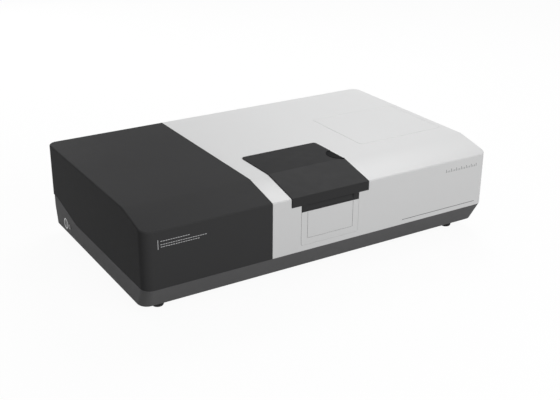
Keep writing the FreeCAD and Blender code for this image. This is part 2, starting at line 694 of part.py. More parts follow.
def screw(name, plane, across, up, level, toward, radius, head_radius, head, reach):
    """A screw: its head is outside the level, its shank reaches the other way, toward +1 or -1."""
    body = new_body(name)
    head_ends = (minus(level, head), level) if toward > 0 else (level, plus(level, head))
    shank_ends = (level, plus(level, reach)) if toward > 0 else (minus(level, reach), level)
    rod(body, plane, across, up, head_radius, *head_ends, SCREW_SIDES)
    rod(body, plane, across, up, radius, *shank_ends, SCREW_SIDES)
    return body


def make_left_cover():
    shell = cover_shell("left_cover", LEFT, SPLIT, [LEFT], plus(LEFT, "cover_wall"),
                        plus(SPLIT, "cover_wall"))
    holes = new_body("left_cover_holes")
    for across in ear_places()[:1]:
        rod(holes, "XY", across, EAR_HOLE_Y, "case_screw_radius + screw_fit",
            minus(REAR_SEAM, "cover_wall"), plus(REAR_SEAM, "2 * cover_wall"), SCREW_SIDES)
    keep("left_cover", subtract("left_cover", shell, holes))


def make_main_cover():
    shell = cover_shell("main_cover", SPLIT, RIGHT, [RIGHT], minus(SPLIT, "cover_wall"),
                        minus(RIGHT, "cover_wall"))
    above = plus(TOP, "5 * lid_proud")
    lid_opening = new_body("lid_opening")
    block(lid_opening, (minus(LID_LEFT, "lid_gap"), plus(LID_RIGHT, "lid_gap")),
          (minus(FRONT, "cover_wall"), plus(LID_BACK, "lid_gap")),
          (minus(LIP_BOTTOM, "part_gap"), above))

    def rear_corner(edge):
        return any(lies_at(edge, x=x, y=plus(LID_BACK, "lid_gap"))
                   for x in (minus(LID_LEFT, "lid_gap"), plus(LID_RIGHT, "lid_gap")))
    round_edges(lid_opening, "lid_corner_radius + lid_gap", rear_corner)
    access_opening = new_body("access_opening")
    block(access_opening, (minus(ACCESS_LEFT, "access_gap"), plus(ACCESS_RIGHT, "access_gap")),
          (minus(FRONT, "cover_wall"), plus(FRONT, "2 * cover_wall")),
          (minus(ACCESS_BOTTOM, "access_gap"), plus(LIP_BOTTOM, "cover_wall")))

    def lower_corner(edge):
        return any(lies_at(edge, x=x, z=minus(ACCESS_BOTTOM, "access_gap"))
                   for x in (minus(ACCESS_LEFT, "access_gap"), plus(ACCESS_RIGHT, "access_gap")))
    round_edges(access_opening, "access_radius + access_gap", lower_corner)
    hatch_opening = new_body("hatch_opening")
    hatch_x = (minus(HATCH_LEFT, "hatch_gap"), plus(HATCH_RIGHT, "hatch_gap"))
    hatch_y = (minus(HATCH_FRONT, "hatch_gap"), plus(HATCH_BACK, "hatch_gap"))
    block(hatch_opening, hatch_x, hatch_y, (minus(TOP, "2 * cover_wall"), above))
    round_edges(hatch_opening, "hatch_radius + hatch_gap",
                lambda edge: any(lies_at(edge, x=x, y=y) for x in hatch_x for y in hatch_y))
    holes = new_body("main_cover_holes")
    for across in ear_places()[1:]:
        rod(holes, "XY", across, EAR_HOLE_Y, "case_screw_radius + screw_fit",
            minus(REAR_SEAM, "cover_wall"), plus(REAR_SEAM, "2 * cover_wall"), SCREW_SIDES)
    openings = join("main_cover_openings", [lid_opening, access_opening, hatch_opening, holes])
    keep("main_cover", subtract("main_cover", shell, openings))


def make_joint_strip():
    """A strip that backs the joint of the two covers on the front, the slope, the top and the back."""
    body = new_body("cover_joint_strip")
    inner = plus("cover_wall", "strip_thickness")
    foot = plus(SEAM, "2 * part_gap")
    rear_foot = plus(REAR_SEAM, "cover_wall", "2 * part_gap")
    corners = [
        (plus(FRONT, "cover_wall"), foot),
        (plus(FRONT, "cover_wall"), minus(slope_at(plus(FRONT, "cover_wall")), "cover_wall")),
        (BEND, minus(TOP, "cover_wall")),
        (minus(BACK, "cover_wall"), minus(TOP, "cover_wall")),
        (minus(BACK, "cover_wall"), rear_foot),
        (minus(BACK, inner), rear_foot),
        (minus(BACK, inner), minus(TOP, inner)),
        (BEND, minus(TOP, inner)),
        (plus(FRONT, inner), minus(slope_at(plus(FRONT, inner)), inner)),
        (plus(FRONT, inner), foot),
    ]
    pad(body, "YZ", lambda sketch: polygon(sketch, corners), minus(SPLIT, "strip_width / 2"),
        plus(SPLIT, "strip_width / 2"))
    keep("cover_joint_strip", body)


def make_hatch():
    """The lift-off detector hatch and the frame that it rests on."""
    hatch = new_body("detector_hatch")
    block(hatch, (HATCH_LEFT, HATCH_RIGHT), (HATCH_FRONT, HATCH_BACK), (minus(TOP, "cover_wall"), TOP))
    round_edges(hatch, "hatch_radius",
                lambda edge: any(lies_at(edge, x=x, y=y) for x in (HATCH_LEFT, HATCH_RIGHT)
                                 for y in (HATCH_FRONT, HATCH_BACK)))
    skirt = plus("hatch_ledge", "hatch_gap")
    inner = plus(skirt, "hatch_skirt_wall")
    skirt_low = minus(TOP, "cover_wall", "hatch_skirt")
    block(hatch, (plus(HATCH_LEFT, skirt), minus(HATCH_RIGHT, skirt)),
          (plus(HATCH_FRONT, skirt), minus(HATCH_BACK, skirt)), (skirt_low, minus(TOP, "cover_wall")))
    sketch = new_sketch(hatch, "XY", minus(TOP, "cover_wall"))
    rectangle(sketch, plus(HATCH_LEFT, inner), minus(HATCH_RIGHT, inner),
              plus(HATCH_FRONT, inner), minus(HATCH_BACK, inner))
    drill(hatch, sketch, "hatch_skirt")
    keep("detector_hatch", hatch)

    frame = new_body("hatch_frame")
    level = minus(TOP, "cover_wall")
    block(frame, (minus(HATCH_LEFT, "hatch_rim"), plus(HATCH_RIGHT, "hatch_rim / 2")),
          (minus(HATCH_FRONT, "hatch_rim"), plus(HATCH_BACK, "hatch_rim")),
          (minus(level, "hatch_frame_thickness"), level))
    hollow(frame, (plus(HATCH_LEFT, "hatch_ledge"), minus(HATCH_RIGHT, "hatch_ledge")),
           (plus(HATCH_FRONT, "hatch_ledge"), minus(HATCH_BACK, "hatch_ledge")),
           (minus(level, "2 * hatch_frame_thickness"), level))
    keep("hatch_frame", frame)


# Base

def pan_form(name, inset, floor_level, profile_end):
    """The tapered pan at an inset from its outside; profile_end closes its side profile above the seam."""
    share = "((%s - %s) / seam_height)" % (floor_level, FLOOR)
    body = new_body(name)
    low_front = plus(FRONT, "pan_front_taper * (1 - %s)" % share, inset)
    corners = [(low_front, floor_level), (plus(FRONT, inset), SEAM)] + profile_end
    corners.append((minus(REAR_WALL, inset), floor_level))
    left = plus(LEFT, inset)
    right = minus(RIGHT, inset)
    pad(body, "YZ", lambda sketch: polygon(sketch, corners), left, right)
    lean = "(pan_side_taper * (1 - %s))" % share
    for side, foot in ((left, plus(left, lean)), (right, minus(right, lean))):
        pocket(body, "XZ", lambda sketch: polygon(sketch, [
            (side, floor_level), (foot, floor_level), (side, SEAM)]), FRONT, BACK)
    return body


def upright_corner(edge, front):
    """Tell whether an edge belongs to the pan's upright corners, at the front or at the back."""
    box = edge.BoundBox
    beside = min(abs(box.XMin - number(LEFT)), abs(box.XMax - number(RIGHT))) < 2 * number("pan_side_taper")
    narrow = box.XLength < number("pan_side_taper") + 0.1 and box.YLength < number("pan_front_taper") + 0.1
    return beside and narrow and box.ZLength > 1 and (box.YMax < 0) == front


def make_base_pan():
    outer = pan_form("pan_outer", "0", FLOOR, [(RISE_START, SEAM), (RISE_END, REAR_SEAM),
                                               (REAR_WALL, REAR_SEAM)])
    round_edges(outer, "pan_rear_radius", lambda edge: upright_corner(edge, False))
    round_edges(outer, "corner_radius", lambda edge: upright_corner(edge, True))
    rim = plus(REAR_SEAM, "pan_wall")
    inner = pan_form("pan_inner", "pan_wall", plus(FLOOR, "pan_wall"),
                     [(plus(FRONT, "pan_wall"), rim), (minus(REAR_WALL, "pan_wall"), rim)])
    round_edges(inner, "pan_inner_bevel", lambda edge: upright_corner(edge, True), "Chamfer")
    ears = []
    for index, across in enumerate(ear_places()):
        ear = new_body("pan_ear_%d" % (index + 1))
        block(ear, (minus(across, "ear_width / 2"), plus(across, "ear_width / 2")),
              (minus(REAR_WALL, "pan_wall"), EAR_TIP), (minus(REAR_SEAM, "ear_thickness"), REAR_SEAM))
        bore(ear, "XY", across, EAR_HOLE_Y, "case_screw_radius + screw_fit",
             minus(REAR_SEAM, "2 * ear_thickness"), REAR_SEAM, SCREW_SIDES)
        ears.append(ear)
    window = new_body("pan_window")
    low = plus(FLOOR, "rear_panel_foot", "rear_window_margin")
    high = plus(FLOOR, "rear_panel_foot", "rear_panel_height", "-1 * rear_window_margin")
    block(window, (plus(PANEL_LEFT, "rear_window_margin"), minus(PANEL_RIGHT, "rear_window_margin")),
          (minus(REAR_WALL, "3 * pan_wall"), plus(REAR_WALL, "pan_wall")), (low, high))
    holes = new_body("pan_holes")
    for across, along in foot_places():
        rod(holes, "XY", across, along, "foot_screw_radius + screw_fit", minus(FLOOR, "pan_wall"),
            plus(FLOOR, "2 * pan_wall"), SCREW_SIDES)
    for across, up in rear_screw_places():
        rod(holes, "XZ", across, up, "case_screw_radius + screw_fit", minus(REAR_WALL, "2 * pan_wall"),
            plus(REAR_WALL, "pan_wall"), SCREW_SIDES)
    seat = plus(LEFT, "switch_proud", "switch_bezel_flange")
    for along, cap, stem, sides in ((SWITCH_Y, "switch_bezel_radius", "switch_body_side / 2", SQUARE),
                                    (FUSE_Y, "fuse_cap_radius", "fuse_body_radius", SCREW_SIDES)):
        rod(holes, "YZ", along, SWITCH_Z, plus(cap, "part_gap"), minus(LEFT, "pan_wall"), seat, DISC_SIDES)
        rod(holes, "YZ", along, SWITCH_Z, plus(stem, "part_gap"), seat, plus(LEFT, "4 * pan_wall"), sides)
    tools = join("pan_hollows", [inner, window, holes])
    shell = subtract("pan_shell", outer, tools)
    keep("base_pan", join("base_pan", [shell] + ears))


def foot_places():
    side = "(case_length / 2 - foot_inset_side)"
    front = "(%s + foot_inset_depth)" % FRONT
    back = "(%s - foot_inset_depth)" % BACK
    return [("-1 * " + side, front), (side, front), ("-1 * " + side, back), (side, back)]


def rear_screw_places():
    high = plus(FLOOR, "rear_panel_foot", "rear_panel_height", "-1 * rear_window_margin / 2")
    low = plus(FLOOR, "rear_panel_foot", "rear_window_margin / 2")
    middle = "((%s + %s) / 2)" % (PANEL_LEFT, PANEL_RIGHT)
    places = (plus(PANEL_LEFT, "rear_screw_inset"), middle, minus(PANEL_RIGHT, "rear_screw_inset"))
    return [(across, up) for across in places for up in (low, high)]


SWITCH_Y = "(%s - switch_place)" % BACK
SWITCH_Z = "(foot_height + switch_height)"
FUSE_Y = "(%s - fuse_pitch)" % SWITCH_Y


def make_feet():
    """Rubber feet, each with a well for its screw."""
    names = ("foot_front_left", "foot_front_right", "foot_rear_left", "foot_rear_right")
    screws = []
    for name, (across, along) in zip(names, foot_places()):
        foot = new_body(name)
        rod(foot, "XY", across, along, "foot_radius", "0", "foot_height", FOOT_SIDES)
        round_edges(foot, "foot_chamfer", lambda edge: lies_at(edge, z="0"), "Chamfer")
        bore(foot, "XY", across, along, "foot_well_radius", "0", "foot_well_depth", SCREW_SIDES)
        bore(foot, "XY", across, along, "foot_screw_radius + screw_fit", "foot_well_depth", "foot_height",
             SCREW_SIDES)
        keep(name, foot)
        screws.append(screw(name + "_screw", "XY", across, along, "foot_well_depth", 1, "foot_screw_radius",
                            "foot_screw_head_radius", "foot_screw_head",
                            "foot_height - foot_well_depth + pan_wall + foot_screw_reach"))
    keep("foot_screws", group("foot_screws", screws))


def make_case_screws():
    screws = []
    for index, across in enumerate(ear_places()):
        screws.append(screw("ear_screw_%d" % (index + 1), "XY", across, EAR_HOLE_Y,
                            minus(REAR_SEAM, "ear_thickness"), 1, "case_screw_radius",
                            "case_screw_head_radius", "case_screw_head",
                            "ear_thickness + cover_wall + case_screw_reach / 2"))
    for index, (across, up) in enumerate(rear_screw_places()):
        screws.append(screw("rear_screw_%d" % (index + 1), "XZ", across, up,
                            plus(REAR_WALL, "rear_panel_thickness"), -1, "case_screw_radius",
                            "case_screw_head_radius", "case_screw_head",
                            "rear_panel_thickness + pan_wall + case_screw_reach / 2"))
    keep("case_screws", group("case_screws", screws))


# Rear panel and what it carries

PANEL_OUT = plus(REAR_WALL, "rear_panel_thickness")
PANEL_MID = plus(FLOOR, "rear_panel_foot", "rear_panel_height / 2")
INLET_X = plus(PANEL_LEFT, "inlet_place")
FAN_X = plus(PANEL_LEFT, "fan_place")
PORT_X = (minus(PANEL_RIGHT, "port_place"), minus(PANEL_RIGHT, "port_place - port_pitch"))


def port_sizes():
    return list(zip(PORT_X, ("port_narrow_width", "port_wide_width")))


def make_rear_panel():
    panel = new_body("rear_panel")
    low = plus(FLOOR, "rear_panel_foot")
    block(panel, (PANEL_LEFT, PANEL_RIGHT), (REAR_WALL, PANEL_OUT),
          (low, plus(low, "rear_panel_height")))

    def cut(draw):
        pocket(panel, "XZ", draw, REAR_WALL, PANEL_OUT)
    half_width = "(inlet_body_width / 2 + part_gap)"
    half_height = "(inlet_body_height / 2 + part_gap)"
    cut(lambda sketch: rectangle(sketch, minus(INLET_X, half_width), plus(INLET_X, half_width),
                                 minus(PANEL_MID, half_height), plus(PANEL_MID, half_height)))
    for across, width in port_sizes():
        half = "(%s / 2 + part_gap)" % width
        tall = "(port_height / 2 + part_gap)"
        cut(lambda sketch: rectangle(sketch, minus(across, half), plus(across, half),
                                     minus(PANEL_MID, tall), plus(PANEL_MID, tall)))
    cut(lambda sketch: outline(sketch, FAN_X, PANEL_MID, "fan_bore_radius", DISC_SIDES))
    for across, up in rear_screw_places():
        cut(lambda sketch: outline(sketch, across, up, "case_screw_radius + screw_fit", SCREW_SIDES))
    slot = new_sketch(panel, "XZ", REAR_WALL)
    rectangle(slot, "vent_place", "vent_place - vent_width", minus(PANEL_MID, "vent_height / 2"),
              plus(PANEL_MID, "vent_height / 2"))
    slot_cut = drill(panel, slot, "rear_panel_thickness")
    document.recompute()
    row = panel.newObject("PartDesign::LinearPattern", "vent_row")
    row.Originals = [slot_cut]
    row.Direction = (slot, ["H_Axis"])
    row.Reversed = True
    row.setExpression("Length", bound("vent_pitch * (vent_count - 1)"))
    row.setExpression("Occurrences", bound("vent_count"))
    panel.Tip = row
    keep("rear_panel", panel)


def make_inlet():
    inlet = new_body("power_inlet")
    flange_out = plus(PANEL_OUT, "inlet_flange")
    pad(inlet, "XZ", lambda sketch: rectangle(
        sketch, minus(INLET_X, "inlet_width / 2"), plus(INLET_X, "inlet_width / 2"),
        minus(PANEL_MID, "inlet_height / 2"), plus(PANEL_MID, "inlet_height / 2")), PANEL_OUT, flange_out)
    pad(inlet, "XZ", lambda sketch: rectangle(
        sketch, minus(INLET_X, "inlet_body_width / 2"), plus(INLET_X, "inlet_body_width / 2"),
        minus(PANEL_MID, "inlet_body_height / 2"), plus(PANEL_MID, "inlet_body_height / 2")),
        minus(PANEL_OUT, "inlet_depth"), PANEL_OUT)
    socket_floor = minus(flange_out, "inlet_socket_depth")
    half_width = "inlet_socket_width / 2"
    half_height = "inlet_socket_height / 2"
    corner = "inlet_socket_height / 4"
    pocket(inlet, "XZ", lambda sketch: polygon(sketch, [
        (minus(INLET_X, half_width), minus(PANEL_MID, half_height)),
        (plus(INLET_X, half_width), minus(PANEL_MID, half_height)),
        (plus(INLET_X, half_width), plus(PANEL_MID, half_height, "-1 * " + corner)),
        (plus(INLET_X, half_width, "-1 * " + corner), plus(PANEL_MID, half_height)),
        (minus(INLET_X, half_width, "-1 * " + corner), plus(PANEL_MID, half_height)),
        (minus(INLET_X, half_width), plus(PANEL_MID, half_height, "-1 * " + corner))]),
        socket_floor, flange_out)
    for offset, rise in (("-1 * inlet_pin_pitch", "-1"), ("0 * inlet_pin_pitch", "1"),
                         ("inlet_pin_pitch", "-1")):
        across = plus(INLET_X, offset)
        up = plus(PANEL_MID, "%s * inlet_pin_height / 2" % rise)
        pad(inlet, "XZ", lambda sketch: rectangle(
            sketch, minus(across, "inlet_pin_width / 2"), plus(across, "inlet_pin_width / 2"),
            minus(up, "inlet_pin_height / 2"), plus(up, "inlet_pin_height / 2")),
            socket_floor, plus(socket_floor, "inlet_pin_length"))
    keep("power_inlet", inlet)


def make_data_ports():
    ports = []
    for name, (across, width) in zip(("square_port", "wide_port"), port_sizes()):
        port = new_body(name)
        out = plus(PANEL_OUT, "port_proud")
        half = "(%s / 2)" % width
        pad(port, "XZ", lambda sketch: rectangle(
            sketch, minus(across, half), plus(across, half), minus(PANEL_MID, "port_height / 2"),
            plus(PANEL_MID, "port_height / 2")), minus(PANEL_OUT, "port_depth"), out)
        inside = "(%s / 2 - port_wall)" % width
        tall = "(port_height / 2 - port_wall)"
        pocket(port, "XZ", lambda sketch: rectangle(
            sketch, minus(across, inside), plus(across, inside), minus(PANEL_MID, tall),
            plus(PANEL_MID, tall)), minus(out, "port_hollow"), out)
        ports.append(port)
    keep("data_ports", group("data_ports", ports))


def make_fan():
    """The fan in the rear panel: a fixed frame with its hub plate, a bladed rotor and a finger guard."""
    seat = minus(REAR_WALL, "pan_wall")
    front = minus(seat, "fan_thickness")
    frame = new_body("fan_frame")
    pad(frame, "XZ", lambda sketch: rectangle(
        sketch, minus(FAN_X, "fan_size / 2"), plus(FAN_X, "fan_size / 2"), minus(PANEL_MID, "fan_size / 2"),
        plus(PANEL_MID, "fan_size / 2")), front, seat)
    bore(frame, "XZ", FAN_X, PANEL_MID, "fan_bore_radius", front, seat, DISC_SIDES)
    plate_out = plus(front, "fan_hub_plate")
    rod(frame, "XZ", FAN_X, PANEL_MID, "fan_hub_radius", front, plate_out, RING_SIDES)
    pad(frame, "XZ", lambda sketch: rectangle(
        sketch, minus(FAN_X, "fan_bore_radius", "part_gap"), plus(FAN_X, "fan_bore_radius", "part_gap"),
        minus(PANEL_MID, "fan_strut_width / 2"), plus(PANEL_MID, "fan_strut_width / 2")), front, plate_out)
    rod(frame, "XZ", FAN_X, PANEL_MID, "fan_spindle_radius", plate_out,
        plus(plate_out, "part_gap", "fan_rotor_depth / 2"))
    keep("fan_frame", frame)

    rotor = new_body("fan_rotor")
    rotor_front = plus(plate_out, "part_gap")
    rotor_back = plus(rotor_front, "fan_rotor_depth")
    rod(rotor, "XZ", "0", "0", "fan_hub_radius", "0", "fan_rotor_depth", RING_SIDES)
    blade_reach = "(fan_bore_radius - fan_tip_gap)"
    blade = new_sketch(rotor, "YZ", "fan_hub_radius / 2")
    lean = "fan_rotor_depth / 2 * tan(fan_blade_angle)"
    polygon(blade, [
        ("fan_tip_gap", "-1 * %s" % lean),
        ("fan_rotor_depth - fan_tip_gap", "%s" % lean),
        ("fan_rotor_depth - fan_tip_gap", "%s + fan_blade_thickness" % lean),
        ("fan_tip_gap", "-1 * %s + fan_blade_thickness" % lean)])
    blade_pad = extrude(rotor, blade, minus(blade_reach, "fan_hub_radius / 2"))
    document.recompute()
    ring = rotor.newObject("PartDesign::PolarPattern", "blade_ring")
    ring.Originals = [blade_pad]
    ring.Axis = (rotor.Origin.OriginFeatures[1], [""])
    ring.Angle = 360
    ring.setExpression("Occurrences", bound("fan_blade_count"))
    rotor.Tip = ring
    document.recompute()
    bore(rotor, "XZ", "0", "0", "fan_spindle_radius + running_fit", "0", "fan_rotor_depth")
    place(rotor, FAN_X, rotor_front, PANEL_MID)
    keep("fan_rotor", rotor)

    guard = new_body("fan_guard")
    guard_out = plus(PANEL_OUT, "guard_thickness")
    pad(guard, "XZ", lambda sketch: rectangle(
        sketch, minus(FAN_X, "fan_bore_radius + guard_ring_width"),
        plus(FAN_X, "fan_bore_radius + guard_ring_width"),
        minus(PANEL_MID, "guard_ring_width / 2"), plus(PANEL_MID, "guard_ring_width / 2")),
        PANEL_OUT, guard_out)
    for index in range(int(number("guard_ring_count"))):
        outer = "(fan_bore_radius + guard_ring_width - %d * guard_ring_pitch)" % index

        def ring_shape(sketch, outer=outer):
            outline(sketch, FAN_X, PANEL_MID, outer, RING_SIDES)
            outline(sketch, FAN_X, PANEL_MID, minus(outer, "guard_ring_width"), RING_SIDES)
        pad(guard, "XZ", ring_shape, PANEL_OUT, guard_out)
    keep("fan_guard", guard)


def make_power_switch():
    """The push button at the left end, near the back, with the fuse holder beside it."""
    face = plus(LEFT, "switch_proud")
    flange = plus(face, "switch_bezel_flange")
    ring = new_body("switch_bezel")
    rod(ring, "YZ", SWITCH_Y, SWITCH_Z, "switch_bezel_radius", face, flange, DISC_SIDES)
    rod(ring, "YZ", SWITCH_Y, SWITCH_Z, "switch_body_side / 2", flange, plus(face, "switch_depth"), SQUARE)
    bore(ring, "YZ", SWITCH_Y, SWITCH_Z, "switch_button_radius + part_gap", face,
         plus(face, "switch_button_length + switch_travel + part_gap"), DISC_SIDES)
    keep("switch_bezel", ring)
    button = new_body("power_button")
    rod(button, "YZ", SWITCH_Y, SWITCH_Z, "switch_button_radius", face, plus(face, "switch_button_length"),
        DISC_SIDES)
    keep("power_button", button)
    fuse = new_body("fuse_holder")
    rod(fuse, "YZ", FUSE_Y, SWITCH_Z, "fuse_cap_radius", face, flange, FOOT_SIDES)
    rod(fuse, "YZ", FUSE_Y, SWITCH_Z, "fuse_body_radius", flange, plus(face, "fuse_depth"), SCREW_SIDES)
    pocket(fuse, "YZ", lambda sketch: rectangle(
        sketch, minus(FUSE_Y, "fuse_body_radius"), plus(FUSE_Y, "fuse_body_radius"),
        minus(SWITCH_Z, "fuse_slot / 2"), plus(SWITCH_Z, "fuse_slot / 2")), face, plus(face, "fuse_slot"))
    keep("fuse_holder", fuse)


# Sample compartment and lid

LIP_BACK = plus(LIP_FRONT, "lid_wall")
LINER_DROP = "(lid_wall - lid_proud)"
SEAL_DROP = "(lid_wall - lid_proud + liner_thickness + part_gap)"
SCOOP_BOTTOM = plus(ACCESS_TOP, "access_gap")
SCOOP_TOP = plus(SCOOP_BOTTOM, "scoop_top")
SCOOP_BACK = plus(FRONT, "scoop_depth")
HINGE_LEFT = plus(LID_LEFT, "lid_corner_radius")
HINGE_RIGHT = minus(LID_RIGHT, "lid_corner_radius")
FIXED_KNUCKLES = ((HINGE_LEFT, plus(HINGE_LEFT, "knuckle_length")), (minus(HINGE_RIGHT, "knuckle_length"),
                                                                     HINGE_RIGHT))


def make_lid():
    """The lid: a shell with skirts, a lip in front, a rail at the back and the hinge's middle knuckle."""
    lid = new_body("lid_shell")
    skirt_level = minus(TOP, "lid_skirt")
    crown = plus(TOP, "lid_proud")
    under = [(RAIL_BACK, skirt_level), (BEND, skirt_level), (LIP_BACK, minus(slope_at(LIP_BACK),
                                                                             "lid_skirt")),
             (LIP_BACK, LIP_BOTTOM), (LIP_FRONT, LIP_BOTTOM)]
    pad(lid, "YZ", lambda sketch: surface_profile(sketch, "(-lid_proud)", LIP_FRONT, RAIL_BACK, under),
        LID_LEFT, LID_RIGHT)
    block(lid, (LID_LEFT, LID_RIGHT), (RAIL_BACK, HINGE_Y), (minus(crown, "lid_wall"), crown))
    for left, right in FIXED_KNUCKLES:
        hollow(lid, (minus(left, "part_gap"), plus(right, "part_gap")),
               (minus(HINGE_Y, "knuckle_radius", "part_gap"), LID_BACK), (minus(crown, "2 * lid_wall"),
                                                                          crown))
    knuckle = (plus(FIXED_KNUCKLES[0][1], "part_gap"), minus(FIXED_KNUCKLES[1][0], "part_gap"))
    rod(lid, "YZ", HINGE_Y, HINGE_Z, "knuckle_radius", *knuckle, RING_SIDES)
    bore(lid, "YZ", HINGE_Y, HINGE_Z, "hinge_pin_radius + running_fit", *knuckle)
    open_level = minus(TOP, "lid_skirt", "2 * lid_lip")
    inside = [(RAIL_FRONT, open_level), (LIP_BACK, open_level)]
    pocket(lid, "YZ", lambda sketch: surface_profile(sketch, LINER_DROP, LIP_BACK, RAIL_FRONT, inside),
           plus(LID_LEFT, "lid_wall"), minus(LID_RIGHT, "lid_wall"))
    corner_tool = new_body("lid_corners")
    block(corner_tool, (LID_LEFT, LID_RIGHT), (minus(LIP_FRONT, "lid_wall"), LID_BACK),
          (minus(LIP_BOTTOM, "lid_wall"), plus(TOP, "2 * lid_proud")))
    round_edges(corner_tool, "lid_corner_radius",
                lambda edge: any(lies_at(edge, x=x, y=LID_BACK) for x in (LID_LEFT, LID_RIGHT)))
    rounded = intersect("lid_rounded", lid, corner_tool)
    recess = half_oval("port_recess", "0", minus(crown, "port_recess_depth"), plus(TOP, "2 * lid_proud"))
    keep("sample_lid", subtract("sample_lid", rounded, recess))


def half_oval(name, inset, low, high):
    """A half oval with its flat side on the lid's right edge."""
    body = new_body(name)
    middle = "(%s + port_recess_place + port_recess_length / 2)" % FRONT
    reach = "(port_recess_width - %s)" % inset
    half = "(port_recess_length / 2 - %s)" % inset
    steps = int(number("port_recess_steps"))
    corners = [(plus(LID_RIGHT, "port_recess_width / 4"), minus(middle, half))]
    for step in range(steps + 1):
        angle = 180 * step / steps
        corners.append((minus(LID_RIGHT, "%s * sin(%s)" % (reach, angle)),
                        minus(middle, "%s * cos(%s)" % (half, angle))))
    corners.append((plus(LID_RIGHT, "port_recess_width / 4"), plus(middle, half)))
    pad(body, "XY", lambda sketch: polygon(sketch, corners), low, high)
    return body


def make_port_plug():
    """The dished plug in the half oval recess of the lid."""
    seat = minus(plus(TOP, "lid_proud"), "port_recess_depth")
    crown = plus(seat, "port_plug_thickness")
    plug = half_oval("port_plug_body", "part_gap", seat, crown)
    dish = half_oval("port_plug_dish_tool", "port_plug_rim", minus(crown, "port_plug_dish"),
                     plus(crown, "port_plug_dish"))
    side = new_body("port_plug_side")
    block(side, (minus(LID_RIGHT, "part_gap"), plus(LID_RIGHT, "port_recess_width")),
          (FRONT, LID_BACK), (minus(seat, "lid_wall"), plus(crown, "lid_wall")))
    tools = join("port_plug_tools", [dish, side])
    keep("port_plug", subtract("port_plug", plug, tools))


def make_liner():
    liner = new_body("lid_liner")
    surface_band(liner, LINER_DROP, plus(LINER_DROP, "liner_thickness"), plus(LIP_BACK, "part_gap"),
                 minus(RAIL_FRONT, "part_gap"), plus(LID_LEFT, "lid_wall", "part_gap"),
                 minus(LID_RIGHT, "lid_wall", "part_gap"))
    keep("lid_liner", liner)


def make_hinge():
    """The fixed leaf on the flange, with a knuckle at each end, and the pin through all three knuckles."""
    leaf = new_body("hinge_leaf")
    span = (HINGE_LEFT, HINGE_RIGHT)
    flange = minus(TOP, "tub_flange_drop")
    back = minus(LID_BACK, "leaf_setback")
    front = minus(back, "leaf_thickness")
    block(leaf, span, (front, back), (flange, minus(HINGE_Z, "knuckle_radius", "leaf_gap")))
    block(leaf, span, (front, plus(front, "leaf_foot")), (flange, plus(flange, "leaf_thickness")))
    for ends in FIXED_KNUCKLES:
        block(leaf, ends, (front, back), (flange, HINGE_Z))
        rod(leaf, "YZ", HINGE_Y, HINGE_Z, "knuckle_radius", *ends, RING_SIDES)
    bore(leaf, "YZ", HINGE_Y, HINGE_Z, "hinge_pin_radius + running_fit", *span)
    keep("hinge_leaf", leaf)
    pin = new_body("hinge_pin")
    rod(pin, "YZ", HINGE_Y, HINGE_Z, "hinge_pin_radius", *span)
    keep("hinge_pin", pin)


def make_tub():
    """The sample compartment: an open tub whose rim and flange follow the slope of the top."""
    tub = new_body("compartment_tub")
    left = minus(TUB_LEFT, "tub_wall")
    right = plus(TUB_RIGHT, "tub_wall")
    floor_points = [(TUB_OUTSIDE_BACK, BENCH), (plus(TUB_FRONT, "tub_toe"), BENCH),
                    (TUB_FRONT, plus(SEAM, "part_gap"))]
    pad(tub, "YZ", lambda sketch: surface_profile(sketch, RIM_DROP, TUB_FRONT, TUB_OUTSIDE_BACK,
                                                  floor_points),
        left, right)
    surface_band(tub, "tub_flange_drop", plus("tub_flange_drop", "tub_flange_thickness"), TUB_FRONT,
                 plus(TUB_OUTSIDE_BACK, "tub_rear_flange"), minus(TUB_LEFT, "tub_flange"),
                 plus(TUB_RIGHT, "tub_flange"))
    hollow(tub, (TUB_LEFT, TUB_RIGHT), (TUB_INSIDE_FRONT, TUB_INSIDE_BACK), (plus(BENCH, "tub_floor"), TOP))
    wall = (minus(TUB_FRONT, "tub_wall"), TUB_INSIDE_FRONT)
    hollow(tub, (plus(ACCESS_LEFT, "access_ledge"), minus(ACCESS_RIGHT, "access_ledge")), wall,
           (plus(ACCESS_BOTTOM, "access_ledge"), minus(ACCESS_TOP, "access_ledge")))
    hollow(tub, (minus(ACCESS_LEFT, "part_gap"), plus(ACCESS_RIGHT, "part_gap")), wall,
           (SCOOP_BOTTOM, plus(SCOOP_TOP, "part_gap")))
    window_ends = ((left, plus(left, "window_thickness")), (minus(right, "window_thickness"), right))
    for along in (SAMPLE_Y, REFERENCE_Y):
        bore(tub, "YZ", along, BEAM, "window_clear_side / 2", left, right, SQUARE)
        for ends in window_ends:
            bore(tub, "YZ", along, BEAM, "window_side / 2 + window_fit", *ends, SQUARE)
    for across, up in spigot_places():
        bore(tub, "XZ", across, up, "spigot_side / 2 + part_gap", TUB_FRONT, TUB_INSIDE_FRONT, SQUARE)
    bore(tub, "XY", PLUNGER_X, PLUNGER_Y, "plunger_radius + part_gap",
         minus(FLANGE_LOW, "tub_flange_thickness"),
         TOP, HOUSING_SIDES)
    keep("compartment_tub", tub)

    windows = []
    for along in (SAMPLE_Y, REFERENCE_Y):
        for ends in window_ends:
            window = new_body("beam_window_%d" % (len(windows) + 1))
            rod(window, "YZ", along, BEAM, "window_side / 2", *ends, SQUARE)
            windows.append(window)
    keep("beam_windows", group("beam_windows", windows))

    seal = new_body("lid_seal")
    surface_band(seal, SEAL_DROP, RIM_DROP, TUB_FRONT, TUB_OUTSIDE_BACK, left, right)
    hollow(seal, (TUB_LEFT, TUB_RIGHT), (TUB_INSIDE_FRONT, TUB_INSIDE_BACK), (BENCH, TOP))
    keep("lid_seal", seal)


PLUNGER_X = minus(LID_RIGHT, "lid_wall / 2")
PLUNGER_Y = minus(LID_BACK, "interlock_place")
FLANGE_LOW = minus(TOP, "tub_flange_drop", "tub_flange_thickness")


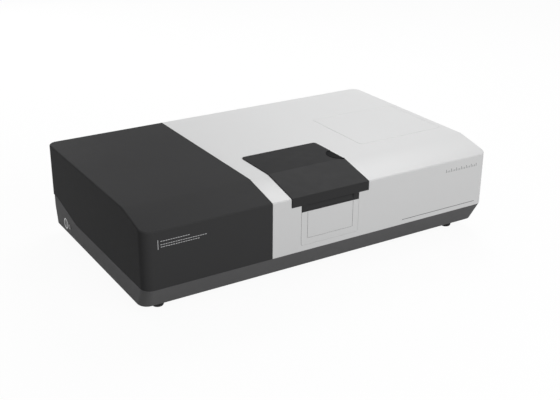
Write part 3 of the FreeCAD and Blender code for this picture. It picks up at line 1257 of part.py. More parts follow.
def make_interlock():
    """The lid switch under the flange: its plunger is pressed by the lid's skirt."""
    switch = new_body("interlock_switch")
    low = minus(FLANGE_LOW, "interlock_height")
    block(switch, (minus(PLUNGER_X, "interlock_width / 2"), plus(PLUNGER_X, "interlock_width / 2")),
          (minus(PLUNGER_Y, "interlock_length / 2"), plus(PLUNGER_Y, "interlock_length / 2")),
          (low, FLANGE_LOW))
    seat = minus(FLANGE_LOW, "plunger_seat")
    bore(switch, "XY", PLUNGER_X, PLUNGER_Y, "plunger_radius + part_gap",
         minus(seat, "plunger_travel", "part_gap"), FLANGE_LOW, HOUSING_SIDES)
    keep("interlock_switch", switch)
    plunger = new_body("interlock_plunger")
    rod(plunger, "XY", PLUNGER_X, PLUNGER_Y, "plunger_radius", seat,
        minus(TOP, "lid_skirt", "plunger_gap"), HOUSING_SIDES)
    keep("interlock_plunger", plunger)


def spigot_places():
    left = plus(ACCESS_LEFT, "spigot_inset")
    right = minus(ACCESS_RIGHT, "spigot_inset")
    low = plus(ACCESS_BOTTOM, "spigot_inset")
    high = minus(ACCESS_TOP, "spigot_inset")
    return [(across, up) for across in (left, right) for up in (low, high)]


def make_access_panel():
    """The front access panel, pulled off forward: a plate with a groove round its middle and four spigots."""
    panel = new_body("front_panel")
    back = plus(FRONT, "access_thickness")
    block(panel, (ACCESS_LEFT, ACCESS_RIGHT), (FRONT, back), (ACCESS_BOTTOM, ACCESS_TOP))
    round_edges(panel, "access_radius",
                lambda edge: any(lies_at(edge, x=x, z=ACCESS_BOTTOM) for x in (ACCESS_LEFT, ACCESS_RIGHT)))

    def groove(sketch):
        left = plus(ACCESS_LEFT, "access_frame")
        right = minus(ACCESS_RIGHT, "access_frame")
        low = plus(ACCESS_BOTTOM, "access_frame")
        polygon(sketch, [
            (left, ACCESS_TOP), (left, low), (right, low), (right, ACCESS_TOP),
            (minus(right, "access_groove_width"), ACCESS_TOP),
            (minus(right, "access_groove_width"), plus(low, "access_groove_width")),
            (plus(left, "access_groove_width"), plus(low, "access_groove_width")),
            (plus(left, "access_groove_width"), ACCESS_TOP)])
    pocket(panel, "XZ", groove, FRONT, plus(FRONT, "access_groove"))
    for across, up in spigot_places():
        rod(panel, "XZ", across, up, "spigot_side / 2", back, plus(back, "spigot_length"), SQUARE)
    keep("front_panel", panel)


def make_scoop():
    """The finger scoop under the lid's lip, with ends and a floor that lean in."""
    scoop = new_body("scoop_block")
    setback = plus(LIP_BACK, "2 * part_gap")
    step = minus(LIP_BOTTOM, "2 * part_gap")
    corners = [(FRONT, SCOOP_BOTTOM), (FRONT, step), (setback, step), (setback, SCOOP_TOP),
               (SCOOP_BACK, SCOOP_TOP), (SCOOP_BACK, SCOOP_BOTTOM)]
    pad(scoop, "YZ", lambda sketch: polygon(sketch, corners), ACCESS_LEFT, ACCESS_RIGHT)
    near = minus(FRONT, "part_gap")
    far = minus(SCOOP_BACK, "scoop_wall")
    floor = plus(SCOOP_BOTTOM, "scoop_wall")
    top = minus(SCOOP_TOP, "scoop_wall")
    lean = plus("scoop_wall", "scoop_lean_side")
    plan = new_body("scoop_mouth_plan")
    pad(plan, "XY", lambda sketch: polygon(sketch, [
        (plus(ACCESS_LEFT, "scoop_wall"), near), (minus(ACCESS_RIGHT, "scoop_wall"), near),
        (minus(ACCESS_RIGHT, lean), far), (plus(ACCESS_LEFT, lean), far)]), SCOOP_BOTTOM, top)
    profile = new_body("scoop_mouth_profile")
    pad(profile, "YZ", lambda sketch: polygon(sketch, [
        (near, floor), (far, plus(floor, "scoop_lean_floor")), (far, top), (near, top)]),
        ACCESS_LEFT, ACCESS_RIGHT)
    mouth = intersect("scoop_mouth", plan, profile)
    keep("finger_scoop", subtract("finger_scoop", scoop, mouth))


def make_cell_holders():
    middle_x = "(-lid_centre)"
    middle_y = "((%s + %s) / 2)" % (SAMPLE_Y, REFERENCE_Y)
    base = plus(BENCH, "tub_floor")
    top = plus(base, "holder_plate_thickness")
    plate = new_body("cell_holder_base")
    block(plate, (minus(middle_x, "holder_plate_width / 2"), plus(middle_x, "holder_plate_width / 2")),
          (minus(middle_y, "holder_plate_depth / 2"), plus(middle_y, "holder_plate_depth / 2")), (base, top))
    keep("cell_holder_base", plate)
    for name, along in (("sample_cell_holder", SAMPLE_Y), ("reference_cell_holder", REFERENCE_Y)):
        holder = new_body(name)
        crown = plus(top, "holder_height")
        half = "holder_size / 2"
        well = "cell_size / 2"
        across = (minus(middle_x, half), plus(middle_x, half))
        block(holder, across, (minus(along, half), plus(along, half)), (top, crown))
        hollow(holder, (minus(middle_x, well), plus(middle_x, well)), (minus(along, well), plus(along,
                                                                                                well)),
               (minus(BEAM, "cell_beam_height"), crown))
        bore(holder, "YZ", along, BEAM, "cell_aperture_side / 2", *across, SQUARE)
        hollow(holder, (minus(middle_x, "cell_slot / 2"), plus(middle_x, "cell_slot / 2")),
               (minus(along, half), plus(along, half)), (minus(crown, "cell_slot_depth"), crown))
        keep(name, holder)


# Optics on the bench

BENCH_LOW = minus(BENCH, "bench_thickness")
BENCH_FRONT = plus(FRONT, "bench_front")
BENCH_BACK = minus(REAR_WALL, "bench_back")
BENCH_LEFT = plus(LEFT, "bench_margin")
BENCH_RIGHT = minus(RIGHT, "bench_margin")
SAMPLE_FOLD_X = minus(TUB_LEFT, "sample_fold")
CHOPPER_X = minus(SAMPLE_FOLD_X, "chopper_offset")
LAMP_X = plus(LEFT, "optics_left")
EXIT_X = "(%s / 3 + 2 * %s / 3)" % (LAMP_X, CHOPPER_X)
LAMP_Y = minus(BACK, "lamp_box_place")
SLIT_Y = minus(BACK, "slit_place")
TURRET_X = "((%s + %s) / 2)" % (LAMP_X, EXIT_X)
TURRET_Y = minus(SLIT_Y, "turret_place")
GEAR_REACH = "(gear_module * (gear_teeth + pinion_teeth) / 2 + gear_centre_gap)"
PINION_Y = plus(TURRET_Y, GEAR_REACH)
CHOPPER_Y = minus(BACK, "chopper_place")
CHOPPER_Z = plus(BEAM, "chopper_rise")
DETECTOR_X = (plus(HATCH_LEFT, "sample_detector_fold"), plus(HATCH_LEFT, "reference_detector_fold"))
DETECTOR_Y = plus(HATCH_FRONT, "detector_place")


def make_bench():
    """The optical bench: a plate with ribs below, bored for the turret shaft and the pinion shaft."""
    bench = new_body("optical_bench")
    block(bench, (BENCH_LEFT, BENCH_RIGHT), (BENCH_FRONT, BENCH_BACK), (BENCH_LOW, BENCH))
    for index in range(int(number("bench_rib_count"))):
        centre = "(%s + (%s - %s) * (%d + 0.5) / bench_rib_count)" % (BENCH_LEFT, BENCH_RIGHT, BENCH_LEFT,
                                                                      index)
        block(bench, (minus(centre, "bench_rib_width / 2"), plus(centre, "bench_rib_width / 2")),
              (plus(BENCH_FRONT, "bench_rib_width"), minus(BENCH_BACK, "bench_rib_width")),
              (minus(BENCH_LOW, "bench_rib_height"), BENCH_LOW))
    bore(bench, "XY", TURRET_X, TURRET_Y, "turret_shaft_radius + running_fit",
         minus(BENCH, "turret_shaft_seat", "part_gap"), BENCH)
    bore(bench, "XY", TURRET_X, PINION_Y, "small_shaft_radius + pinion_shaft_gap", BENCH_LOW, BENCH, SQUARE)
    keep("optical_bench", bench)
    mounts = []
    middle = "((%s + %s) / 2)" % (BENCH_LEFT, BENCH_RIGHT)
    for across in (plus(BENCH_LEFT, "mount_inset_side"), middle, minus(BENCH_RIGHT, "mount_inset_side")):
        for along in (plus(BENCH_FRONT, "mount_inset_depth"), minus(BENCH_BACK, "mount_inset_depth")):
            mount = new_body("bench_mount_%d" % (len(mounts) + 1))
            rod(mount, "XY", across, along, "mount_radius", plus(FLOOR, "pan_wall"), BENCH_LOW,
                HOUSING_SIDES)
            mounts.append(mount)
    keep("bench_mounts", group("bench_mounts", mounts))


def make_lamps():
    housing = new_body("lamp_housing")
    half = "lamp_box_size / 2"
    x = (minus(LAMP_X, half), plus(LAMP_X, half))
    y = (minus(LAMP_Y, half), plus(LAMP_Y, half))
    top = plus(BENCH, "lamp_box_height")
    block(housing, x, y, (BENCH, top))
    hollow(housing, (plus(x[0], "lamp_box_wall"), minus(x[1], "lamp_box_wall")),
           (plus(y[0], "lamp_box_wall"), minus(y[1], "lamp_box_wall")), (plus(BENCH, "lamp_box_wall"), top))
    bore(housing, "XZ", LAMP_X, BEAM, "lamp_aperture_side / 2", y[0], plus(y[0], "lamp_box_wall"), SQUARE)
    keep("lamp_housing", housing)
    floor = plus(BENCH, "lamp_box_wall")
    lamp_y = plus(LAMP_Y, "lamp_offset")
    collar = plus(floor, "lamp_base_height")
    for name, side, word in (("deuterium_lamp", "-1", "deuterium"), ("halogen_lamp", "1", "halogen")):
        across = plus(LAMP_X, "%s * lamp_pitch" % side)
        lamp = new_body(name)
        crown = plus(collar, word + "_height")
        rod(lamp, "XY", across, lamp_y, word + "_base_side / 2", floor, collar, SQUARE)
        rod(lamp, "XY", across, lamp_y, word + "_radius", collar, crown, RING_SIDES)
        round_edges(lamp, word + "_radius / 2", lambda edge: lies_at(edge, z=crown), "Chamfer")
        keep(name, lamp)


def make_source_mirror():
    """The lamp change mirror on its motor, inside the lamp housing."""
    along = minus(LAMP_Y, "source_mirror_offset")
    floor = plus(BENCH, "lamp_box_wall")
    motor_top = plus(floor, "small_motor_length")
    motor = new_body("source_mirror_motor")
    rod(motor, "XY", LAMP_X, along, "small_motor_side / 2", floor, motor_top, SQUARE)
    bore(motor, "XY", LAMP_X, along, "small_shaft_radius + running_fit",
         minus(motor_top, "small_shaft_seat", "part_gap"), motor_top)
    keep("source_mirror_motor", motor)
    mirror = new_body("source_mirror")
    low = minus(BEAM, "source_mirror_size / 2")
    rod(mirror, "XY", LAMP_X, along, "small_shaft_radius", minus(motor_top, "small_shaft_seat"),
        plus(low, "source_mirror_foot"))
    block(mirror, (minus(LAMP_X, "source_mirror_size / 2"), plus(LAMP_X, "source_mirror_size / 2")),
          (minus(along, "source_mirror_thickness / 2"), plus(along, "source_mirror_thickness / 2")),
          (low, plus(low, "source_mirror_size")))
    keep("source_mirror", mirror)


def wheel_motor(name, shaft_up):
    """A motor behind a wheel, on its pedestal; its own Y axis is the shaft and its origin the wheel's face."""
    motor = new_body(name)
    front = "wheel_gap"
    back = "(wheel_gap + small_motor_length)"
    rod(motor, "XZ", "0", "0", "small_motor_side / 2", front, back, SQUARE)
    drop = minus(shaft_up, BENCH)
    block(motor, ("-pedestal_width / 2", "pedestal_width / 2"),
          (plus(front, "pedestal_inset"), minus(back, "pedestal_inset")),
          ("-1 * " + drop, "-small_motor_side / 4"))
    bore(motor, "XZ", "0", "0", "small_shaft_radius + running_fit", front,
         plus(front, "small_shaft_seat", "part_gap"))
    return motor


def make_filter_wheel():
    wheel = new_body("filter_wheel")
    rod(wheel, "XZ", "0", "0", "filter_wheel_radius", "-1 * filter_wheel_thickness", "0", DISC_SIDES)
    hole = new_sketch(wheel, "XZ", "-1 * filter_wheel_thickness")
    outline(hole, "filter_pitch_radius", "0", "filter_radius", SCREW_SIDES)
    hole_cut = drill(wheel, hole, "filter_wheel_thickness")
    document.recompute()
    ring = wheel.newObject("PartDesign::PolarPattern", "filter_ring")
    ring.Originals = [hole_cut]
    ring.Axis = (hole, ["N_Axis"])
    ring.Angle = 360
    ring.setExpression("Occurrences", bound("filter_count"))
    wheel.Tip = ring
    document.recompute()
    rod(wheel, "XZ", "0", "0", "small_shaft_radius", "-0.5 * filter_wheel_thickness",
        "wheel_gap + small_shaft_seat")
    across = minus(LAMP_X, "filter_pitch_radius")
    along = minus(BACK, "filter_wheel_place")
    place(wheel, across, along, BEAM, "180")
    keep("filter_wheel", wheel)
    motor = wheel_motor("filter_motor", BEAM)
    place(motor, across, along, BEAM, "180")
    keep("filter_motor", motor)


def make_slits():
    plates = []
    for name, across in (("entrance_slit", LAMP_X), ("exit_slit", EXIT_X)):
        plate = new_body(name)
        half = "slit_plate_width / 2"
        x = (minus(across, half), plus(across, half))
        block(plate, x, (SLIT_Y, plus(SLIT_Y, "slit_plate_thickness")),
              (BENCH, plus(BENCH, "slit_plate_height")))
        block(plate, x, (SLIT_Y, plus(SLIT_Y, "slit_plate_foot")),
              (BENCH, plus(BENCH, "slit_plate_thickness")))
        pocket(plate, "XZ", lambda sketch: rectangle(
            sketch, minus(across, "slit_width / 2"), plus(across, "slit_width / 2"),
            minus(BEAM, "slit_height / 2"), plus(BEAM, "slit_height / 2")),
            SLIT_Y, plus(SLIT_Y, "slit_plate_thickness"))
        plates.append(plate)
    keep("slit_plates", group("slit_plates", plates))


def make_concave_mirrors():
    """Two mirrors whose faces are shallow hollow spheres, turned towards the gratings."""
    mirrors = []
    for name, across, turn in (("collimating_mirror", LAMP_X, "-concave_turn"),
                               ("focusing_mirror", EXIT_X, "concave_turn")):
        blank = new_body(name + "_blank")
        half = "concave_size / 2"
        block(blank, ("-1 * " + half, half), ("-concave_thickness", "0"), ("-1 * " + half, half))
        block(blank, ("-concave_mount_width / 2", "concave_mount_width / 2"),
              ("-concave_thickness", "-concave_thickness / 4"), ("-beam_height", "-1 * " + half))
        ball = document.addObject("Part::Sphere", name + "_curve")
        ball.setExpression("Radius", bound("concave_radius"))
        ball.setExpression("Placement.Base.y", bound("concave_radius - concave_sag"))
        mirror = subtract(name, blank, ball)
        place(mirror, across, plus(FRONT, "concave_place"), BEAM, turn)
        mirrors.append(mirror)
    keep("concave_mirrors", group("concave_mirrors", mirrors))


def gear_shape(teeth, thickness, hole_radius):
    """A spur gear with involute flanks, a tooth on its +X axis, and a central hole."""
    module = number("gear_module")
    pitch_radius = module * teeth / 2
    tip_radius = pitch_radius + module
    root_radius = pitch_radius - 1.25 * module
    pressure_angle = math.radians(20)
    base_radius = pitch_radius * math.cos(pressure_angle)
    half_tooth = (math.pi * module / 2 - number("gear_backlash") / 2) / pitch_radius / 2

    def involute(radius):
        angle = math.acos(min(1, base_radius / radius))
        return math.tan(angle) - angle
    start_radius = max(root_radius, base_radius)
    flank_radii = [start_radius, pitch_radius, tip_radius]
    flank = [(radius, half_tooth + involute(pitch_radius) - involute(radius)) for radius in flank_radii]
    if root_radius < base_radius:
        flank.insert(0, (root_radius, flank[0][1]))
    points = []
    for tooth in range(teeth):
        centre = 2 * math.pi * tooth / teeth
        for radius, half_angle in flank:
            points.append((radius, centre - half_angle))
        for radius, half_angle in reversed(flank):
            points.append((radius, centre + half_angle))
    corners = [Vector(radius * math.cos(angle), radius * math.sin(angle), 0) for radius, angle in points]
    outline = Part.makePolygon(corners + corners[:1])
    hole = Part.Wire(Part.makeCircle(hole_radius))
    face = Part.makeFace([outline, hole], "Part::FaceMakerBullseye")
    return face.extrude(Vector(0, 0, thickness))


def make_turret():
    """The grating turret: a turntable with two gratings back to back, on a shaft with a gear below."""
    table_low = plus(BENCH, "turret_level")
    table_top = plus(table_low, "turret_thickness")
    turret = new_body("grating_turret")
    rod(turret, "XY", TURRET_X, TURRET_Y, "turret_shaft_radius", minus(BENCH, "turret_shaft_seat"),
        table_low)
    rod(turret, "XY", TURRET_X, TURRET_Y, "turret_radius", table_low, table_top, DISC_SIDES)
    block(turret, (minus(TURRET_X, "grating_size / 2"), plus(TURRET_X, "grating_size / 2")),
          (minus(TURRET_Y, "grating_post / 2"), plus(TURRET_Y, "grating_post / 2")),
          (minus(table_top, "1"), plus(BEAM, "grating_size / 2")))
    keep("grating_turret", turret)
    gratings = []
    for sign in (-1, 1):
        grating = new_body("grating_%d" % (len(gratings) + 1))
        near = plus(TURRET_Y, "%d * grating_post / 2" % sign)
        far = plus(TURRET_Y, "%d * (grating_post / 2 + grating_thickness)" % sign)
        along = (far, near) if sign < 0 else (near, far)
        block(grating, (minus(TURRET_X, "grating_size / 2"), plus(TURRET_X, "grating_size / 2")), along,
              (minus(BEAM, "grating_size / 2"), plus(BEAM, "grating_size / 2")))
        gratings.append(grating)
    keep("gratings", group("gratings", gratings))

    teeth = int(number("gear_teeth"))
    small_teeth = int(number("pinion_teeth"))
    gear = document.addObject("Part::Feature", "turret_gear")
    gear.Shape = gear_shape(teeth, number("gear_thickness"), number("turret_shaft_radius + running_fit"))
    gear_place = Vector(number(TURRET_X), number(TURRET_Y), number(plus(BENCH, "gear_level")))
    gear.Placement = FreeCAD.Placement(gear_place, FreeCAD.Rotation(Vector(0, 0, 1), 90))
    keep("turret_gear", gear)

    pinion_teeth_part = document.addObject("Part::Feature", "pinion_teeth")
    height = number("gear_thickness + 2 * pinion_overlap")
    pinion_teeth_part.Shape = gear_shape(small_teeth, height, number("small_shaft_radius") / 2)
    pinion_place = Vector(number(TURRET_X), number(PINION_Y),
                          number(plus(BENCH, "gear_level - pinion_overlap")))
    turn = 90 + 180 / small_teeth * (1 if small_teeth % 2 == 0 else 0)
    pinion_teeth_part.Placement = FreeCAD.Placement(pinion_place, FreeCAD.Rotation(Vector(0, 0, 1), turn))
    shaft = new_body("pinion_shaft")
    rod(shaft, "XY", TURRET_X, PINION_Y, "small_shaft_radius", minus(BENCH_LOW, "small_shaft_seat"),
        plus(BENCH, "gear_level", "gear_thickness", "pinion_overlap"))
    keep("turret_pinion", join("turret_pinion", [pinion_teeth_part, shaft]))
    motor = new_body("turret_motor")
    rod(motor, "XY", TURRET_X, PINION_Y, "small_motor_side / 2", minus(BENCH_LOW, "small_motor_length"),
        BENCH_LOW,
        SQUARE)
    bore(motor, "XY", TURRET_X, PINION_Y, "small_shaft_radius + running_fit",
         minus(BENCH_LOW, "small_shaft_seat", "part_gap"), BENCH_LOW)
    keep("turret_motor", motor)


def make_chopper():
    """The chopper: two mirrored quarters that turn through the beam, and its motor behind it."""
    wheel = new_body("chopper_wheel")
    rod(wheel, "XZ", "0", "0", "chopper_radius", "-1 * chopper_thickness", "0", DISC_SIDES)
    far = "(2 * chopper_radius)"
    for sign in ("", "-1 * "):
        pocket(wheel, "XZ", lambda sketch: polygon(sketch, [
            ("0", "0"), (sign + far, sign + far), ("0", sign + far + " * 1.5"),
            ("-1 * " + sign + far, sign + far)]), "-1 * chopper_thickness", "0")
    rod(wheel, "XZ", "0", "0", "wheel_hub_radius", "-1 * chopper_thickness", "0", HOUSING_SIDES)
    rod(wheel, "XZ", "0", "0", "small_shaft_radius", "-0.5 * chopper_thickness",
        "wheel_gap + small_shaft_seat")
    place(wheel, CHOPPER_X, CHOPPER_Y, CHOPPER_Z, "-chopper_turn")
    keep("chopper_wheel", wheel)
    motor = wheel_motor("chopper_motor", CHOPPER_Z)
    place(motor, CHOPPER_X, CHOPPER_Y, CHOPPER_Z, "-chopper_turn")
    keep("chopper_motor", motor)


def make_beam_mirrors():
    """Plane mirrors on posts; each turn brings its face, which looks along its own -Y, to the beam."""
    mirrors = []
    stations = [
        (EXIT_X, CHOPPER_Y, "45"),
        (SAMPLE_FOLD_X, CHOPPER_Y, "-45"),
        (SAMPLE_FOLD_X, SAMPLE_Y, "135"),
        (CHOPPER_X, REFERENCE_Y, "135"),
        (DETECTOR_X[0], SAMPLE_Y, "-135"),
        (DETECTOR_X[1], REFERENCE_Y, "-135"),
    ]
    half = "mirror_size / 2"
    back = "(mirror_thickness + mirror_backing)"
    for across, along, turn in stations:
        mirror = new_body("plane_mirror_%d" % (len(mirrors) + 1))
        block(mirror, ("-1 * " + half, half), ("0", back), ("-1 * " + half, half))
        middle = "(%s - mirror_backing / 2)" % back
        rod(mirror, "XY", "0", middle, "mirror_post_side / 2", "-beam_height", "-1 * %s" % half, SQUARE)
        rod(mirror, "XY", "0", middle, "mirror_foot_side / 2", "-beam_height",
            "mirror_foot_height - beam_height",
            SQUARE)
        place(mirror, across, along, BEAM, turn)
        mirrors.append(mirror)
    keep("beam_mirrors", group("beam_mirrors", mirrors))


def make_detectors():
    housing = new_body("detector_housing")
    top = minus(TOP, "cover_wall", "hatch_frame_thickness", "part_gap")
    block(housing, (HATCH_LEFT, HATCH_RIGHT), (HATCH_FRONT, HATCH_BACK), (BENCH, top))
    hollow(housing, (plus(HATCH_LEFT, "housing_wall"), minus(HATCH_RIGHT, "housing_wall")),
           (plus(HATCH_FRONT, "housing_wall"), minus(HATCH_BACK, "housing_wall")),
           (plus(BENCH, "housing_wall"), top))
    for across in DETECTOR_X:
        bore(housing, "XZ", across, BEAM, "housing_beam_side / 2", HATCH_FRONT,
             plus(HATCH_FRONT, "housing_wall"),
             SQUARE)
    keep("detector_housing", housing)
    floor = plus(BENCH, "housing_wall")
    tube = new_body("photomultiplier")
    rod(tube, "XY", DETECTOR_X[0], DETECTOR_Y, "tube_base_side / 2", floor,
        plus(floor, "tube_base_height"), SQUARE)
    rod(tube, "XY", DETECTOR_X[0], DETECTOR_Y, "tube_radius", plus(floor, "tube_base_height"),
        plus(floor, "tube_base_height", "tube_height"), FOOT_SIDES)
    keep("photomultiplier", tube)
    infrared = new_body("infrared_detector")
    half = "infrared_width / 2"
    front = minus(DETECTOR_Y, "infrared_depth / 2")
    back = plus(DETECTOR_Y, "infrared_depth / 2")
    block(infrared, (minus(DETECTOR_X[1], half), plus(DETECTOR_X[1], half)), (front, back),
          (floor, plus(floor, "infrared_height")))
    rod(infrared, "XZ", DETECTOR_X[1], BEAM, "infrared_can_radius", minus(front, "infrared_can_length"),
        front,
        HOUSING_SIDES)
    fin = new_sketch(infrared, "XY", floor)
    left = minus(DETECTOR_X[1], half)
    rectangle(fin, left, plus(left, "infrared_fin_thickness"), back, plus(back, "infrared_fin_depth"))
    fin_pad = extrude(infrared, fin, "infrared_height")
    document.recompute()
    fins = infrared.newObject("PartDesign::LinearPattern", "fin_row")
    fins.Originals = [fin_pad]
    fins.Direction = (fin, ["H_Axis"])
    fins.setExpression("Length", bound("infrared_fin_pitch * (infrared_fin_count - 1)"))
    fins.setExpression("Occurrences", bound("infrared_fin_count"))
    infrared.Tip = fins
    keep("infrared_detector", infrared)


# Electronics

def make_power_supply():
    supply = new_body("power_supply")
    x = ("-supply_place", "(supply_length - supply_place)")
    y = (minus(BENCH_BACK, "supply_depth_place", "supply_depth"), minus(BENCH_BACK, "supply_depth_place"))
    top = plus(BENCH, "supply_height")
    block(supply, x, y, (BENCH, top))
    slot = new_sketch(supply, "XY", top)
    first = plus(x[0], "supply_slot_pitch")
    rectangle(slot, first, plus(first, "supply_slot_width"), plus(y[0], "supply_slot_pitch"),
              minus(y[1], "supply_slot_pitch"))
    slot_cut = drill(supply, slot, "supply_wall")
    document.recompute()
    row = supply.newObject("PartDesign::LinearPattern", "supply_slots")
    row.Originals = [slot_cut]
    row.Direction = (slot, ["H_Axis"])
    row.setExpression("Length", bound("supply_slot_pitch * (supply_slot_count - 1)"))
    row.setExpression("Occurrences", bound("supply_slot_count"))
    supply.Tip = row
    keep("power_supply", supply)


def make_control_board():
    board = new_body("control_board")
    x = (minus(RIGHT, "board_place", "board_length"), minus(RIGHT, "board_place"))
    y = (plus(HATCH_BACK, "board_gap"), minus(BENCH_BACK, "board_depth_place"))
    low = plus(BENCH, "board_post")
    top = plus(low, "board_thickness")
    block(board, x, y, (low, top))
    inset = "board_post_side"
    for across in (plus(x[0], inset), minus(x[1], inset)):
        for along in (plus(y[0], inset), minus(y[1], inset)):
            rod(board, "XY", across, along, "board_post_side / 2", BENCH,
                plus(low, "board_thickness / 2"), SQUARE)
    chip_y = "((%s + %s) / 2)" % y
    for step in range(int(number("chip_count"))):
        across = plus(x[0], "chip_pitch * %d" % (step + 1), "-1 * chip_size / 2")
        block(board, (across, plus(across, "chip_size")),
              (minus(chip_y, "chip_size / 2"), plus(chip_y, "chip_size / 2")),
              (minus(top, "board_thickness / 2"), plus(top, "chip_height")))
    keep("control_board", board)


make_base_pan()
make_feet()
make_rear_panel()
make_inlet()
make_data_ports()
make_fan()
make_power_switch()
make_case_screws()
make_left_cover()
make_main_cover()
make_joint_strip()
make_hatch()
make_tub()
make_lid()
make_port_plug()
make_liner()
make_hinge()
make_interlock()
make_access_panel()
make_scoop()
make_cell_holders()
make_bench()
make_lamps()
make_source_mirror()
make_filter_wheel()
make_slits()
make_concave_mirrors()
make_turret()
make_chopper()
make_beam_mirrors()
make_detectors()
make_power_supply()
make_control_board()
document.recompute()


# Check the model and write the pieces

def check_document():
    """Raise an error if any object failed, or if a cut took nothing away."""
    for item in document.Objects:
        if any(word in item.State for word in ("Invalid", "Error")):
            raise RuntimeError("%s failed: %s" % (item.Name, item.State))
        if item.TypeId == "PartDesign::Pocket":
            before = item.BaseFeature.Shape.Volume
            if item.Shape.Volume > before - 0.001:
                raise RuntimeError("%s cuts nothing" % item.Name)


def write_pieces():
    os.makedirs("parts", exist_ok=True)
    for name, piece in nodes.items():
        shape = piece.Shape
        if shape.isNull() or not shape.isValid() or not shape.Solids:
            raise RuntimeError("%s has no sound shape" % name)
        shape.exportStep("parts/%s.step" % name)
    print("%d pieces" % len(nodes))


check_document()
write_pieces()
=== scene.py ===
"""Looks of a UV-Vis-NIR spectrophotometer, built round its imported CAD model.

The scene is in metres. Sizes and places of the pieces are in millimetres unless a comment says otherwise.
"""

import json
import math

import bmesh
import bpy
from mathutils import Matrix, Vector


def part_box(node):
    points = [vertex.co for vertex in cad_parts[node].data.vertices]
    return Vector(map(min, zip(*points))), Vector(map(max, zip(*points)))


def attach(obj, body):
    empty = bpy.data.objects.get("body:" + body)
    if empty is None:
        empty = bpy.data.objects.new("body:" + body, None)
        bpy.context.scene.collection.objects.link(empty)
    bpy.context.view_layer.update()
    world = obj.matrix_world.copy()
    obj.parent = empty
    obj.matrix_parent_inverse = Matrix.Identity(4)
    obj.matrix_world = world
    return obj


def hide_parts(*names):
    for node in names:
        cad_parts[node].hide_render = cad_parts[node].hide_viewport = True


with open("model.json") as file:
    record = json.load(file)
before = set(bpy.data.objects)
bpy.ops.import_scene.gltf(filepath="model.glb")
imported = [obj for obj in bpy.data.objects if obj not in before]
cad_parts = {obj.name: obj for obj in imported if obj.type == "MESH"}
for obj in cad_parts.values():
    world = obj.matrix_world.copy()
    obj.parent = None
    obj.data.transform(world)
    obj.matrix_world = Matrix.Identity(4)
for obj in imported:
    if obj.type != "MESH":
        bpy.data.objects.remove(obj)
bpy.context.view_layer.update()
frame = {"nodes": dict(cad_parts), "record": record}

RECORD = frame["record"]
SLOT_OF = {part["node"]: part["material_slot"] for part in RECORD["subparts"]}
BODY_OF = {node: body for body, nodes in RECORD["behaviour"]["bodies"].items() for node in nodes}
MM = 0.001

# Where the photograph was taken from, in metres, and its lens
CAMERA_PLACE = (-1.2647, -2.0860, 1.1354)
CAMERA_AZIMUTH = math.radians(-31.98)
CAMERA_ELEVATION = math.radians(23.22)
CAMERA_ROLL = math.radians(0.54)
CAMERA_LENS = 61.84
SENSOR_WIDTH = 36

# Light of the background and the floor, then each lamp's place, side and power, in metres and watts
SKY_LEVEL = 0.30
FLOOR_COLOUR = 0.42
FLOOR_GLOW = 0.85
GLOW_LEVEL = 1.11
FLOOR_REACH = 6
LAMPS = {
    "key_lamp": ((0.3, -2.9, 1.6), 1.8, 46),
    "top_lamp": ((1.46, 1.35, 2.3), 1.2, 28),
    "rear_lamp": ((-0.5, 2.9, 1.3), 1.8, 24),
}
LAMP_TARGET = Vector((0, 0, 0.1))

# Meshes: the turn at a sharp edge and on a flat face, and the distances at which doubles merge, in metres
SHARP_ANGLE = math.radians(28)
FLAT_ANGLE = math.radians(0.5)
MERGE_DISTANCE = 0.000002
CAD_MERGE_DISTANCE = 0.000005
CUT_DISTANCE = 0.000001
BEVEL_SEGMENTS = 2
# The room for rounding when a vertex is picked by its place, in metres
PLACE_ROOM = 0.00001


# Materials

# Scales of the patterns
PLASTIC_CLOUDS = 3.5
PLASTIC_GLOSS = 45
METAL_CLOUDS = 14
GLASS_CLOUDS = 60
GLASS_GLOSS = 90
RULINGS = 900
PAINTED_SHEEN_BANDS = 22
BAND_GLOSS = 30
TRACKS = 60
LACQUER_GLOSS = 120
# Depths of the reliefs, in metres
PLASTIC_RELIEF = 0.0002
METAL_RELIEF = 0.0001
TRACK_RELIEF = 0.0001
RULING_RELIEF = 0.00005


def new_coat(name):
    """An empty node material."""
    coat = bpy.data.materials.new(name)
    coat.use_nodes = True
    coat.node_tree.nodes.clear()
    return coat


def add(owner, kind, **settings):
    """Add a shader node to a material or a world."""
    node = owner.node_tree.nodes.new(kind)
    for key, value in settings.items():
        setattr(node, key, value)
    return node


def join(owner, source, target):
    """Link two sockets of a material or a world."""
    owner.node_tree.links.new(source, target)


def coordinates(coat, stretch=(1, 1, 1)):
    """Object coordinates, stretched for a pattern that runs one way."""
    place = add(coat, "ShaderNodeTexCoord")
    mapping = add(coat, "ShaderNodeMapping")
    mapping.inputs["Scale"].default_value = stretch
    join(coat, place.outputs["Object"], mapping.inputs["Vector"])
    return mapping.outputs["Vector"]


def noise(coat, vector, scale, detail=2.0):
    """A cloudy pattern between 0 and 1."""
    texture = add(coat, "ShaderNodeTexNoise")
    texture.inputs["Scale"].default_value = scale
    texture.inputs["Detail"].default_value = detail
    join(coat, vector, texture.inputs["Vector"])
    return texture.outputs["Fac"]


def ramp(coat, factor, low, high, start=0.3, end=0.7):
    """Map a pattern to colours between low and high."""
    colours = add(coat, "ShaderNodeValToRGB")
    for element, position, colour in zip(colours.color_ramp.elements, (start, end), (low, high)):
        element.position = position
        element.color = (*colour, 1)
    join(coat, factor, colours.inputs["Fac"])
    return colours.outputs["Color"]


def between(coat, factor, low, high):
    """Map a pattern to numbers between low and high."""
    mapped = add(coat, "ShaderNodeMapRange")
    for key, value in (("From Min", 0.3), ("From Max", 0.7), ("To Min", low), ("To Max", high)):
        mapped.inputs[key].default_value = value
    join(coat, factor, mapped.inputs["Value"])
    return mapped.outputs["Result"]


